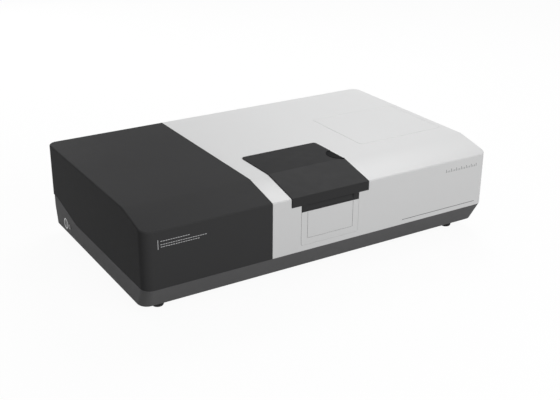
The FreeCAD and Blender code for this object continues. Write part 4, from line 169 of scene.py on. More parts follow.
def shaded(colour, share):
    """A lighter or darker share of a colour."""
    return tuple(min(1.0, part * share) for part in colour)


def finish_coat(coat, colour, roughness, height=None, strength=0.1, depth=PLASTIC_RELIEF, **constants):
    """End a material in one shader, whose constants are set on its own sockets."""
    shader = add(coat, "ShaderNodeBsdfPrincipled")
    for key, value in constants.items():
        shader.inputs[key.replace("_", " ")].default_value = value
    join(coat, colour, shader.inputs["Base Color"])
    join(coat, roughness, shader.inputs["Roughness"])
    if height is not None:
        bump = add(coat, "ShaderNodeBump")
        bump.inputs["Strength"].default_value = strength
        bump.inputs["Distance"].default_value = depth
        join(coat, height, bump.inputs["Height"])
        join(coat, bump.outputs["Normal"], shader.inputs["Normal"])
    output = add(coat, "ShaderNodeOutputMaterial")
    join(coat, shader.outputs["BSDF"], output.inputs["Surface"])
    return coat


def moulded(name, colour, roughness, grain=1400, strength=0.12, spread=0.03, patchy=0.04, **constants):
    """Moulded or painted plastic: fine grain, faint cloudiness and faint changes of gloss."""
    coat = new_coat(name)
    place = coordinates(coat)
    cloud = noise(coat, place, PLASTIC_CLOUDS, 3)
    tint = ramp(coat, cloud, shaded(colour, 1 - spread), shaded(colour, 1 + spread))
    gloss = between(coat, noise(coat, place, PLASTIC_GLOSS, 4), roughness - patchy, roughness + patchy)
    fine = noise(coat, place, grain, 1)
    return finish_coat(coat, tint, gloss, fine, strength, PLASTIC_RELIEF, **constants)


def metal(name, colour, roughness, stretch=(1, 40, 40), scale=30, strength=0.05, **constants):
    """Machined or brushed metal, whose marks run along one axis."""
    coat = new_coat(name)
    marks = noise(coat, coordinates(coat, stretch), scale, 4)
    cloud = noise(coat, coordinates(coat), METAL_CLOUDS, 2)
    tint = ramp(coat, cloud, shaded(colour, 0.93), shaded(colour, 1.04))
    gloss = between(coat, marks, roughness - 0.06, roughness + 0.08)
    return finish_coat(coat, tint, gloss, marks, strength, METAL_RELIEF, Metallic=1.0, **constants)


def glass(name, colour, roughness=0.02, index=1.46):
    """Clear or tinted glass with faint changes of tint and gloss."""
    coat = new_coat(name)
    place = coordinates(coat)
    tint = ramp(coat, noise(coat, place, GLASS_CLOUDS), shaded(colour, 0.98), colour)
    gloss = between(coat, noise(coat, place, GLASS_GLOSS), roughness, roughness + 0.02)
    return finish_coat(coat, tint, gloss, Transmission_Weight=1.0, IOR=index)


def ruled(name, colour, painted_sheen_tint):
    """Grating coat: fine rulings on bright metal, with bands of faint colour painted in as the rulings'
    rainbow sheen.
    """
    coat = new_coat(name)
    place = coordinates(coat)
    lines = add(coat, "ShaderNodeTexWave")
    lines.inputs["Scale"].default_value = RULINGS
    join(coat, place, lines.inputs["Vector"])
    # Painted sheen: fixed bands of tint standing in for the grating's rainbow reflections
    bands = add(coat, "ShaderNodeTexWave", bands_direction="Z")
    bands.inputs["Scale"].default_value = PAINTED_SHEEN_BANDS
    bands.inputs["Distortion"].default_value = 1.5
    join(coat, place, bands.inputs["Vector"])
    tint = ramp(coat, bands.outputs["Fac"], painted_sheen_tint, colour, 0.1, 0.9)
    gloss = between(coat, noise(coat, place, BAND_GLOSS), 0.12, 0.2)
    return finish_coat(coat, tint, gloss, lines.outputs["Fac"], 0.2, RULING_RELIEF, Metallic=1.0)


def circuit(name, colour, track):
    """Circuit board lacquer over tracks."""
    coat = new_coat(name)
    place = coordinates(coat)
    tracks = add(coat, "ShaderNodeTexBrick")
    tracks.inputs["Scale"].default_value = TRACKS
    tracks.inputs["Mortar Size"].default_value = 0.03
    tracks.inputs["Color1"].default_value = (*colour, 1)
    tracks.inputs["Color2"].default_value = (*shaded(colour, 0.8), 1)
    tracks.inputs["Mortar"].default_value = (*track, 1)
    join(coat, place, tracks.inputs["Vector"])
    gloss = between(coat, noise(coat, place, LACQUER_GLOSS), 0.25, 0.4)
    return finish_coat(coat, tracks.outputs["Color"], gloss, tracks.outputs["Fac"], 0.3, TRACK_RELIEF)


# One finish for each material slot of the record
COATS = {
    "cover_white": moulded("cover_white", (0.74, 0.742, 0.743), 0.44, spread=0.008, patchy=0.012),
    "cover_black": moulded("cover_black", (0.054, 0.054, 0.055), 0.5, patchy=0.015, Specular_IOR_Level=0.01),
    "lid_black": moulded("lid_black", (0.047, 0.047, 0.048), 0.42, 2200, 0.06, Specular_IOR_Level=0.015),
    "plug_black": moulded("plug_black", (0.012, 0.012, 0.013), 0.5, Specular_IOR_Level=0.01),
    "base_grey": moulded("base_grey", (0.142, 0.142, 0.144), 0.6, 900, 0.2, Specular_IOR_Level=0.06),
    "rear_grey": moulded("rear_grey", (0.30, 0.31, 0.32), 0.5, 1100, 0.15),
    "rubber_black": moulded("rubber_black", (0.02, 0.02, 0.021), 0.75, 700, 0.35, Specular_IOR_Level=0.25),
    "steel_bright": metal("steel_bright", (0.62, 0.62, 0.63), 0.28),
    "ring_chrome": metal("ring_chrome", (0.34, 0.345, 0.35), 0.24, (1, 1, 1), 220, 0.02),
    "tub_black": moulded("tub_black", (0.045, 0.045, 0.047), 0.55, 1000, 0.2, Specular_IOR_Level=0.3),
    "holder_black": moulded("holder_black", (0.085, 0.087, 0.092), 0.34, 1600, 0.08),
    "housing_black": moulded("housing_black", (0.028, 0.028, 0.03), 0.55, 800, 0.2),
    "bench_metal": metal("bench_metal", (0.45, 0.455, 0.46), 0.5, (40, 1, 40), 26, 0.1),
    "frame_grey": moulded("frame_grey", (0.34, 0.35, 0.36), 0.5, 1200, 0.12),
    "window_glass": glass("window_glass", (0.97, 0.98, 1.0)),
    "lamp_glass": glass("lamp_glass", (0.98, 0.97, 0.95), 0.03),
    "mirror_coat": metal("mirror_coat", (0.86, 0.87, 0.88), 0.08, (1, 1, 1), 60, 0.0),
    "grating_coat": ruled("grating_coat", (0.85, 0.8, 0.7), (0.55, 0.62, 0.75)),
    "motor_metal": metal("motor_metal", (0.4, 0.41, 0.42), 0.36, (1, 1, 60), 20, 0.06),
    "gear_brass": metal("gear_brass", (0.72, 0.52, 0.24), 0.3, (1, 1, 50), 22, 0.06),
    "detector_metal": metal("detector_metal", (0.5, 0.51, 0.53), 0.34, (1, 1, 50), 24, 0.05),
    "supply_metal": metal("supply_metal", (0.63, 0.64, 0.63), 0.4, (40, 1, 40), 16, 0.05),
    "board_green": circuit("board_green", (0.012, 0.12, 0.05), (0.05, 0.22, 0.09)),
    "inlet_black": moulded("inlet_black", (0.022, 0.022, 0.023), 0.4, 1500, 0.08),
    "fan_black": moulded("fan_black", (0.024, 0.024, 0.025), 0.45, 1200, 0.1),
    "button_black": moulded("button_black", (0.015, 0.015, 0.016), 0.3, 1800, 0.05),
    "plunger_white": moulded("plunger_white", (0.7, 0.7, 0.68), 0.4, 1500, 0.05),
}

# Second finishes, which show on some faces or on pieces that the record doesn't have
MARK_GREY = moulded("mark_grey", (0.55, 0.55, 0.56), 0.6, 2500, 0.03)
LINE_GREY = moulded("line_grey", (0.22, 0.22, 0.225), 0.6, 2500, 0.03)
# Painted shade: a darker copy of the lid's black for its flat top, so the top reads darker than its lit slope
LID_TOP_PAINTED_SHADE = moulded("lid_top_painted_shade", (0.034, 0.034, 0.035), 0.42, 2200, 0.06, Specular_IOR_Level=0.015)
# Painted shade: grey for the white front panel's seam walls, so the gap round it and its groove look shaded
SEAM_PAINTED_SHADE = moulded("seam_painted_shade", (0.24, 0.24, 0.24), 0.6, 1400, 0.05)
FILTER_GLASSES = [
    glass("filter_clear", (0.96, 0.97, 0.98)),
    glass("filter_yellow", (0.95, 0.85, 0.25)),
    glass("filter_orange", (0.95, 0.45, 0.08)),
    glass("filter_red", (0.75, 0.05, 0.04)),
    glass("filter_violet", (0.16, 0.08, 0.32)),
]
CERAMIC = moulded("ceramic_white", (0.74, 0.72, 0.68), 0.55, 900, 0.1)


# Meshes

def set_down(bm, name, body, slot, stands_for=(), coat=None, outward=True):
    """Turn a mesh into a piece that rides on a body, in its slot's finish unless it has a coat of its own."""
    bmesh.ops.remove_doubles(bm, verts=bm.verts, dist=MERGE_DISTANCE)
    if outward:
        bmesh.ops.recalc_face_normals(bm, faces=bm.faces)
    for face in bm.faces:
        face.smooth = True
    for edge in bm.edges:
        edge.smooth = len(edge.link_faces) != 2 or edge.calc_face_angle(0) < SHARP_ANGLE
    mesh = bpy.data.meshes.new(name)
    bm.to_mesh(mesh)
    bm.free()
    mesh.materials.append(coat or COATS[slot])
    piece = bpy.data.objects.new(name, mesh)
    bpy.context.scene.collection.objects.link(piece)
    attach(piece, body)
    if stands_for:
        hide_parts(*stands_for)
    return piece


def weigh_normals(piece):
    """Keep broad faces flat beside their narrow bevels."""
    weights = piece.modifiers.new("weights", "WEIGHTED_NORMAL")
    weights.mode = "FACE_AREA"
    weights.weight = 60
    weights.keep_sharp = True


def sharp_edges(bm):
    """Every edge between two faces that turns by more than the sharp angle."""
    return [edge for edge in bm.edges
            if len(edge.link_faces) == 2 and edge.calc_face_angle(0) > SHARP_ANGLE]


def bevel_edges(bm, edges, width):
    """Round edges to a width."""
    bmesh.ops.bevel(bm, geom=edges, offset=width * MM, offset_type="OFFSET", segments=BEVEL_SEGMENTS,
                    profile=0.5, affect="EDGES", clamp_overlap=True, material=-1)


def finished_copy(node, width):
    """A merged copy of a CAD node with its sharp edges softened, standing for that node."""
    bm = bmesh.new()
    bm.from_mesh(frame["nodes"][node].data)
    bmesh.ops.remove_doubles(bm, verts=bm.verts, dist=CAD_MERGE_DISTANCE)
    bmesh.ops.dissolve_limit(bm, angle_limit=FLAT_ANGLE, verts=bm.verts, edges=bm.edges)
    bevel_edges(bm, sharp_edges(bm), width)
    slot = "lid_black" if node in BLACKENED else SLOT_OF[node]
    piece = set_down(bm, node + "_piece", BODY_OF[node], slot, [node], outward=False)
    weigh_normals(piece)
    return piece


def paint(piece, coat, chosen):
    """Give a second material to the faces that chosen picks by centre, normal and area, in metres."""
    piece.data.materials.append(coat)
    index = len(piece.data.materials) - 1
    for face in piece.data.polygons:
        if chosen(face.center, face.normal, face.area):
            face.material_index = index


AXIS_TURNS = {
    "+X": Matrix.Rotation(math.radians(90), 4, "Y"),
    "-X": Matrix.Rotation(math.radians(-90), 4, "Y"),
    "+Y": Matrix.Rotation(math.radians(-90), 4, "X"),
    "+Z": Matrix.Identity(4),
    "-Z": Matrix.Rotation(math.radians(180), 4, "X"),
}


def put(bm, verts, place, axis):
    """Turn vertices that were made along Z to an axis, and move them to a place."""
    matrix = Matrix.Translation(Vector(place) * MM) @ AXIS_TURNS[axis]
    bmesh.ops.transform(bm, matrix=matrix, verts=verts)


def turn_profile(bm, profile, place, axis="+Z", steps=48, closed=False):
    """Turn a profile of radius and height round an axis through a place, and return its vertices."""
    verts = [bm.verts.new((radius * MM, 0, height * MM)) for radius, height in profile]
    pairs = list(zip(verts, verts[1:]))
    if closed:
        pairs.append((verts[-1], verts[0]))
    edges = [bm.edges.new(pair) for pair in pairs if pair[0].co.x > 0 or pair[1].co.x > 0]
    before = set(bm.verts)
    bmesh.ops.spin(bm, geom=verts + edges, cent=(0, 0, 0), axis=(0, 0, 1), angle=2 * math.pi,
                   steps=steps, use_merge=True)
    made = [vert for vert in bm.verts if vert not in before] + verts
    made = [vert for vert in made if vert.is_valid]
    put(bm, made, place, axis)
    return made


def add_block(bm, low, high, width=0.0):
    """Add a box between two corners, with its edges rounded to a width."""
    low, high = Vector(low) * MM, Vector(high) * MM
    matrix = Matrix.Translation((low + high) / 2) @ Matrix.Diagonal((*(high - low), 1))
    made = bmesh.ops.create_cube(bm, size=1, matrix=matrix)["verts"]
    if width:
        bevel_edges(bm, list({edge for vert in made for edge in vert.link_edges}), width)


def add_tube(bm, start, end, radius, sides=16):
    """Add a closed rod between two places."""
    start, end = Vector(start) * MM, Vector(end) * MM
    run = end - start
    matrix = Matrix.Translation((start + end) / 2) @ run.to_track_quat("Z", "Y").to_matrix().to_4x4()
    bmesh.ops.create_cone(bm, cap_ends=True, segments=sides, radius1=radius * MM, radius2=radius * MM,
                          depth=run.length, matrix=matrix)


def add_ring(bm, place, radius, wire, axis, steps=64, sides=12):
    """Add a ring of round wire."""
    turns = [2 * math.pi * side / sides for side in range(sides)]
    profile = [(radius + wire * math.cos(turn), wire * math.sin(turn)) for turn in turns]
    turn_profile(bm, profile, place, axis, steps, closed=True)


def add_screw(bm, place, axis, radius, height, shank, reach):
    """Add a domed screw with a hexagonal socket, seated at a place and looking along an axis."""
    socket = 0.48 * radius
    floor = 0.35 * height
    made = turn_profile(bm, [
        (0, 0), (0.97 * radius, 0), (radius, 0.15 * height), (radius, 0.45 * height),
        (0.9 * radius, 0.8 * height), (0.7 * radius, height), (socket, height), (socket, floor), (0, floor)],
        (0, 0, 0), steps=24)
    for vert in made:
        across = math.hypot(vert.co.x, vert.co.y)
        if abs(across - socket * MM) < PLACE_ROOM:
            angle = math.atan2(vert.co.y, vert.co.x) % math.radians(60) - math.radians(30)
            share = math.cos(math.radians(30)) / math.cos(angle)
            vert.co.x *= share
            vert.co.y *= share
    below = Matrix.Translation((0, 0, -reach * MM / 2))
    made += bmesh.ops.create_cone(bm, cap_ends=True, segments=16, radius1=shank * MM, radius2=shank * MM,
                                  depth=reach * MM, matrix=below)["verts"]
    put(bm, made, place, axis)


def corners(node):
    """The lowest and highest corners of a CAD node."""
    low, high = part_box(node)
    return low / MM, high / MM


def middle(node):
    """The middle of a CAD node's box."""
    low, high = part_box(node)
    return (low + high) / 2 / MM


# Base

FEET = ("foot_front_left", "foot_front_right", "foot_rear_left", "foot_rear_right")
FOOT_WELL_DEPTH = 14
FOOT_PROFILE = [
    (2.75, 28), (14.2, 28), (14.7, 27.5), (14.7, 24.4), (13.7, 23.8), (13.7, 22.6), (14.9, 22), (14.9, 4.2),
    (14.5, 2.6), (13.2, 0.6), (12.2, 0), (7.4, 0), (6.6, 0.5), (6.3, 1.4), (6.3, FOOT_WELL_DEPTH),
    (2.75, FOOT_WELL_DEPTH)]

# Screws: their head's radius and height, their shank's radius and how far it reaches
FOOT_SCREW = {"radius": 4.7, "height": 3.5, "shank": 2.4, "reach": 22}
EAR_SCREW = {"radius": 3.6, "height": 2.4, "shank": 1.85, "reach": 9}
PANEL_SCREW = {"radius": 3.6, "height": 2.4, "shank": 1.85, "reach": 8}
# Places of the case screws: in the ears, from the rear wall, and in the rear panel, from its ends and edges
EAR_SCREWS_ACROSS = (-450, -150, 150, 450)
EAR_SCREW_INSET = 9.5
EAR_THICKNESS = 3
PANEL_SCREW_INSET = 15
PANEL_SCREW_RISE = 4.5


def make_feet():
    """Rubber feet with a bevelled sole, a grip groove and the well of their screw."""
    for node in FEET:
        centre = middle(node)
        bm = bmesh.new()
        turn_profile(bm, FOOT_PROFILE, (centre.x, centre.y, 0), closed=True)
        set_down(bm, node + "_rubber", "case", "rubber_black", [node])


def make_foot_screws():
    """A screw in the well of each foot."""
    bm = bmesh.new()
    for node in FEET:
        centre = middle(node)
        add_screw(bm, (centre.x, centre.y, FOOT_WELL_DEPTH), "-Z", **FOOT_SCREW)
    set_down(bm, "foot_screw_set", "case", "steel_bright", ["foot_screws"])


def make_case_screws():
    """Screws in the ears that hold the covers, and in the rear panel."""
    bm = bmesh.new()
    high = corners("base_pan")[1]
    for across in EAR_SCREWS_ACROSS:
        add_screw(bm, (across, high.y - EAR_SCREW_INSET, high.z - EAR_THICKNESS), "-Z", **EAR_SCREW)
    low, high = corners("rear_panel")
    for across in (low.x + PANEL_SCREW_INSET, 0, high.x - PANEL_SCREW_INSET):
        for up in (low.z + PANEL_SCREW_RISE, high.z - PANEL_SCREW_RISE):
            add_screw(bm, (across, high.y, up), "+Y", **PANEL_SCREW)
    set_down(bm, "case_screw_set", "case", "steel_bright", ["case_screws"])


# Left end

SWITCH_RING_PROFILE = [
    (10.9, -1.6), (11.2, -0.7), (12, -0.15), (13.2, 0), (14.3, -0.2), (14.85, -0.8), (15, -2.4), (12, -2.4),
    (12, -26), (0, -26)]
SWITCH_WELL_PROFILE = [(10.9, -1.6), (10.9, -11.3), (0, -11.3)]
BUTTON_PROFILE = [
    (0, -0.9), (5.5, -0.75), (6.2, -0.55), (6.6, -0.8), (7, -0.55), (9.3, -0.05), (10, -0.2), (10.45, -0.8),
    (10.45, -9), (0, -9)]
FUSE_PROFILE = [(0, 0), (6.6, 0), (7.4, -0.2), (7.9, -0.7), (7.9, -2.4), (5.9, -2.4), (5.9, -30), (0, -30)]
# The fuse cap's coin slot: a dark strip of painted shade in place of a recess, and how far it stands out of
# the cap and reaches in
FUSE_SLOT_LENGTH = 10.4
FUSE_SLOT_WIDTH = 1.4
FUSE_SLOT_OUT, FUSE_SLOT_IN = 0.12, 0.6
END_STEPS = 64


def make_power_switch():
    """The bright ring and the button inside it, at the left end."""
    centre = middle("switch_bezel")
    place = (corners("switch_bezel")[0].x, centre.y, centre.z)
    bm = bmesh.new()
    turn_profile(bm, SWITCH_RING_PROFILE, place, "-X", END_STEPS)
    turn_profile(bm, SWITCH_WELL_PROFILE, place, "-X", END_STEPS)
    set_down(bm, "switch_ring", "case", "ring_chrome", ["switch_bezel"])
    bm = bmesh.new()
    turn_profile(bm, BUTTON_PROFILE, place, "-X", END_STEPS)
    set_down(bm, "button_cap", "switch_button", "button_black", ["power_button"])


def make_fuse_holder():
    """The cap of the fuse holder beside the switch, with its coin slot as a raised dark strip of painted
    shade.
    """
    centre = middle("fuse_holder")
    face = corners("fuse_holder")[0].x
    bm = bmesh.new()
    turn_profile(bm, FUSE_PROFILE, (face, centre.y, centre.z), "-X")
    set_down(bm, "fuse_cap", "case", "button_black", ["fuse_holder"])
    # The coin slot is not cut: a dull dark strip on the cap is painted shade where the slot's recess would be
    reach = Vector((0, FUSE_SLOT_LENGTH / 2, FUSE_SLOT_WIDTH / 2))
    bm = bmesh.new()
    add_block(bm, Vector((face - FUSE_SLOT_OUT, centre.y, centre.z)) - reach,
              Vector((face + FUSE_SLOT_IN, centre.y, centre.z)) + reach, 0.1)
    set_down(bm, "fuse_slot_painted_shade", "case", "button_black", coat=COATS["plug_black"])


# Rear

# Fan guard: its rings' radii and its spokes' angles
GUARD_RINGS = (29.2, 21.2, 13.2, 5.2)
GUARD_WIRE = 0.72
SPOKE_ANGLES = (45, 135)
SPOKE_RADIUS = 0.7
# Fan rotor: its hub, and each blade's root radius, span, middle depth along the axis, camber and thickness
HUB_PROFILE = [
    (2.1, 0.2), (10.5, 0.2), (11.7, 1.2), (12, 2.4), (12, 12.6), (11.2, 13.6), (9.8, 14), (2.1, 14)]
BLADES = 7
BLADE_ROOT = 11.5
BLADE_SPAN = 15.3
BLADE_DEPTH = 7
BLADE_CAMBER = 0.8
BLADE_THICKNESS = 0.9
# From the blade's root to its tip: its chord, its lean in degrees, and how far it sweeps in degrees
ROOT_CHORD, TIP_CHORD = 12.5, 17
ROOT_LEAN, TIP_LEAN = 52, 36
BLADE_SWEEP = 16
# The share of its leaning chord that a blade reaches along the axis
BLADE_FLATNESS = 0.72

# Contact tongues: the narrow port's from its left end, and the wide port's from its right end
NARROW_TONGUE, NARROW_TONGUE_WIDTH = 2.9, 7.2
WIDE_TONGUE, WIDE_TONGUE_WIDTH = 29, 26
TONGUE_THICKNESS = 1.6
TONGUE_SETBACK = 2
TONGUE_LENGTH = 9


def make_fan_guard():
    """Rings of wire on two crossed spokes."""
    centre = middle("fan_guard")
    bm = bmesh.new()
    for radius in GUARD_RINGS:
        add_ring(bm, centre, radius, GUARD_WIRE, "+Y")
    for angle in SPOKE_ANGLES:
        turn = math.radians(angle)
        reach = Vector((math.cos(turn), 0, math.sin(turn))) * GUARD_RINGS[0]
        add_tube(bm, centre - reach, centre + reach, SPOKE_RADIUS)
    set_down(bm, "guard_wires", "case", "ring_chrome", ["fan_guard"])


def add_blade(bm, turn):
    """Bend a grid to a swept blade round the Y axis, thicken it and turn it to its place."""
    grid = bmesh.ops.create_grid(bm, x_segments=8, y_segments=6, size=0.5)["verts"]
    for vert in grid:
        along, chord = vert.co.x + 0.5, vert.co.y
        reach = BLADE_ROOT + BLADE_SPAN * along
        lean = math.radians(ROOT_LEAN + (TIP_LEAN - ROOT_LEAN) * along)
        width = chord * (ROOT_CHORD + (TIP_CHORD - ROOT_CHORD) * along)
        sweep = math.radians(BLADE_SWEEP * along * along)
        across = width * math.cos(lean) / reach + sweep
        depth = BLADE_DEPTH + width * BLADE_FLATNESS * math.sin(lean) + BLADE_CAMBER * (1 - 4 * chord * chord)
        vert.co = Vector((reach * math.cos(across), depth, reach * math.sin(across))) * MM
    faces = list({face for vert in grid for face in vert.link_faces})
    solid = bmesh.ops.solidify(bm, geom=faces, thickness=BLADE_THICKNESS * MM)
    blade = set(grid) | {item for item in solid["geom"] if isinstance(item, bmesh.types.BMVert)}
    bmesh.ops.rotate(bm, verts=list(blade), cent=(0, 0, 0), matrix=Matrix.Rotation(turn, 3, "Y"))


def make_fan_rotor():
    """A hub with curved blades."""
    bm = bmesh.new()
    turn_profile(bm, HUB_PROFILE, (0, 0, 0), "+Y", 56, closed=True)
    for index in range(BLADES):
        add_blade(bm, 2 * math.pi * index / BLADES)
    centre = middle("fan_guard")
    place = Vector((centre.x, corners("fan_rotor")[0].y, centre.z))
    bmesh.ops.translate(bm, verts=bm.verts, vec=place * MM)
    set_down(bm, "rotor_blades", "rotor", "fan_black", ["fan_rotor"])


def make_port_tongues():
    """Contact tongues inside the two data ports."""
    low, high = corners("data_ports")
    level = (low.z + high.z) / 2
    rear = high.y - TONGUE_SETBACK
    bm = bmesh.new()
    for left, width in ((low.x + NARROW_TONGUE, NARROW_TONGUE_WIDTH),
                        (high.x - WIDE_TONGUE, WIDE_TONGUE_WIDTH)):
        add_block(bm, (left, rear - TONGUE_LENGTH, level - TONGUE_THICKNESS / 2),
                  (left + width, rear, level + TONGUE_THICKNESS / 2), 0.2)
    set_down(bm, "port_tongues", "case", "inlet_black")


# Plain marks on the front

# The plane of the front, and how far a mark stands out of it and reaches in
FRONT = corners("front_panel")[0].y
MARK_OUT = 0.12
MARK_IN = 0.1
# The bar, the rows of dashes beside it, the ticks and the thin line
BAR_LEFT, BAR_BOTTOM = -473, 183
BAR_WIDTH, BAR_HEIGHT = 1.4, 24
DASH_LEFT = -466
DASH_PITCH = 6.2
DASH_WIDTH, DASH_HEIGHT = 4.6, 1.5
# Each row of dashes by its bottom and its count
DASH_ROWS = ((201.4, 12), (193.2, 19), (187.4, 16))
TICKS = 19
TICK_LEFT, TICK_BOTTOM = 366, 199
TICK_PITCH = 5.8
TICK_WIDTH = 1.5
LONG_TICK, SHORT_TICK = 9, 5
LINE_LEFT, LINE_BOTTOM = 225, 95.1
LINE_WIDTH, LINE_HEIGHT = 250, 1.8


def add_mark(bm, left, bottom, width, height):
    """Add a plain raised mark to the front."""
    add_block(bm, (left, FRONT - MARK_OUT, bottom), (left + width, FRONT + MARK_IN, bottom + height))


def make_marks():
    """A bar with rows of dashes, a row of ticks and a thin line."""
    bm = bmesh.new()
    add_mark(bm, BAR_LEFT, BAR_BOTTOM, BAR_WIDTH, BAR_HEIGHT)
    for bottom, count in DASH_ROWS:
        for index in range(count):
            add_mark(bm, DASH_LEFT + DASH_PITCH * index, bottom, DASH_WIDTH, DASH_HEIGHT)
    set_down(bm, "left_marks", "case", "cover_white", coat=MARK_GREY)
    bm = bmesh.new()
    for index in range(TICKS):
        height = LONG_TICK if index % 3 == 0 else SHORT_TICK
        add_mark(bm, TICK_LEFT + TICK_PITCH * index, TICK_BOTTOM, TICK_WIDTH, height)
    set_down(bm, "right_marks", "case", "base_grey", coat=LINE_GREY)
    bm = bmesh.new()
    add_mark(bm, LINE_LEFT, LINE_BOTTOM, LINE_WIDTH, LINE_HEIGHT)
    set_down(bm, "front_line", "case", "base_grey", coat=LINE_GREY)


# Compartment

WINDOW_BEZEL_PROFILE = [(10.2, 0.02), (10.4, 1.3), (11, 1.7), (13, 1.7), (13.8, 1.2), (14, 0.02)]
WINDOW_RADIUS = 14
WINDOW_THICKNESS = 5
THUMB_SCREW_PROFILE = [(0, 7), (4.4, 7), (5.2, 6.4), (5.2, 2.6), (4, 2), (4, 0.02), (0, 0.02)]
# From the ends and from the sides of the base that they hold
THUMB_SCREW_INSETS = (9.5, 8)
# The spring in a cell holder: how far inward and how far down it goes
SPRING_PROFILE = [(5.6, 1.5), (6.6, 9), (8.4, 20), (7.2, 32), (5.8, 40)]
SPRING_WIDTH = 6
SPRING_THICKNESS = 0.3


def make_window_bezels():
    """A bezel on the inner side of each beam window."""
    low, high = corners("beam_windows")
    level = (low.z + high.z) / 2
    bm = bmesh.new()
    for across, axis in ((low.x + WINDOW_THICKNESS, "+X"), (high.x - WINDOW_THICKNESS, "-X")):
        for along in (high.y - WINDOW_RADIUS, low.y + WINDOW_RADIUS):
            turn_profile(bm, WINDOW_BEZEL_PROFILE, (across, along, level), axis, closed=True)
    set_down(bm, "window_bezels", "case", "holder_black")


def make_thumb_screws():
    """Thumb screws at the corners of the cell holders' base."""
    low, high = corners("cell_holder_base")
    across_inset, along_inset = THUMB_SCREW_INSETS
    bm = bmesh.new()
    for across in (low.x + across_inset, high.x - across_inset):
        for along in (low.y + along_inset, high.y - along_inset):
            turn_profile(bm, THUMB_SCREW_PROFILE, (across, along, high.z), "+Z", 24)
    set_down(bm, "thumb_screws", "case", "steel_bright")


def make_cell_springs():
    """A leaf spring in each cell holder."""
    for node in ("sample_cell_holder", "reference_cell_holder"):
        low, high = corners(node)
        left = (low.x + high.x - SPRING_WIDTH) / 2
        bm = bmesh.new()
        verts = [bm.verts.new(Vector((left, low.y + inward, high.z - down)) * MM)
                 for inward, down in SPRING_PROFILE]
        edges = [bm.edges.new(pair) for pair in zip(verts, verts[1:])]
        made = bmesh.ops.extrude_edge_only(bm, edges=edges)["geom"]
        far = [item for item in made if isinstance(item, bmesh.types.BMVert)]
        bmesh.ops.translate(bm, verts=far, vec=(SPRING_WIDTH * MM, 0, 0))
        bmesh.ops.recalc_face_normals(bm, faces=bm.faces)
        bmesh.ops.solidify(bm, geom=bm.faces[:], thickness=SPRING_THICKNESS * MM)
        set_down(bm, node + "_spring", "case", "steel_bright")


# Finger scoop: its border beside the pocket, its sill, its slot, the pocket's form and the wall behind it

SCOOP_BORDER = 15.5
SCOOP_SILL = 3
SCOOP_SLOT = 7
SCOOP_ROOF = 1.5
SCOOP_DEPTH = 5
SCOOP_LEAN = 2.6
SCOOP_TAPER = 2.4
SCOOP_BACK = 2.5
SCOOP_EDGE = 0.4


def cut_across(bm, place, normal):
    """Cut every face of a mesh along a plane through a place, and keep both sides."""
    bmesh.ops.bisect_plane(bm, geom=bm.verts[:] + bm.edges[:] + bm.faces[:], dist=CUT_DISTANCE,
                           plane_co=Vector(place) * MM, plane_no=normal)


def push_in(bm, faces, depth):
    """Extrude faces to a depth behind the front, and return the new faces."""
    made = bmesh.ops.extrude_face_region(bm, geom=faces)["geom"]
    bmesh.ops.delete(bm, geom=faces, context="FACES")
    verts = [item for item in made if isinstance(item, bmesh.types.BMVert)]
    bmesh.ops.translate(bm, verts=verts, vec=(0, depth * MM, 0))
    return [item for item in made if isinstance(item, bmesh.types.BMFace)]


def make_scoop():
    """A flush border round a pocket whose wall leans back to a slot under the lid's lip."""
    low, high = corners("finger_scoop")
    left, right = low.x + SCOOP_BORDER, high.x - SCOOP_BORDER
    sill, shelf, roof = low.z + SCOOP_SILL, high.z - SCOOP_SLOT, high.z - SCOOP_ROOF
    bm = bmesh.new()
    add_block(bm, low, high)
    for side in (left, right):
        cut_across(bm, (side, low.y, sill), (1, 0, 0))
    for level in (sill, shelf, roof):
        cut_across(bm, (left, low.y, level), (0, 0, 1))
    pocket = []
    for face in bm.faces:
        centre = face.calc_center_median() / MM
        if face.normal.y < -0.9 and left < centre.x < right and sill < centre.z < roof:
            pocket.append(face)
    pocket = push_in(bm, pocket, SCOOP_DEPTH)
    middle_of_pocket = (left + right) / 2 * MM
    for vert in {vert for face in pocket for vert in face.verts}:
        vert.co.x += math.copysign(SCOOP_TAPER * MM, middle_of_pocket - vert.co.x)
        if vert.co.z < shelf * MM - PLACE_ROOM:
            vert.co.y -= SCOOP_LEAN * MM
            vert.co.z += SCOOP_TAPER / 2 * MM
    slot = [face for face in pocket if face.calc_center_median().z > shelf * MM]
    push_in(bm, slot, high.y - low.y - SCOOP_DEPTH - SCOOP_BACK)
    bevel_edges(bm, sharp_edges(bm), SCOOP_EDGE)
    set_down(bm, "scoop_shell", BODY_OF["finger_scoop"], SLOT_OF["finger_scoop"], ["finger_scoop"])


# Optics and lamps

# Filter wheel: its axis to the middle of an opening, and the turn in degrees from one opening to the next
FILTER_PITCH = 28
FILTER_STEP = 60
FILTER_RING_PROFILE = [(5.9, 0.02), (8.8, 0.02), (8.8, 0.5), (8.4, 0.9), (6.3, 0.9), (5.9, 0.5)]
FILTER_PROFILE = [(0, -2.6), (6.5, -2.6), (6.8, -2.3), (6.8, -0.6), (6.5, -0.3), (0, -0.3)]
FILTER_STEPS = 32

# Each lamp by its bulb's radius and height and by half its socket's width
LAMP_SIZES = {"deuterium_lamp": (15, 66, 19), "halogen_lamp": (6, 50, 10)}
SOCKET_HEIGHT = 12
SOCKET_EDGE = 1.2
BULB_WALL = 1


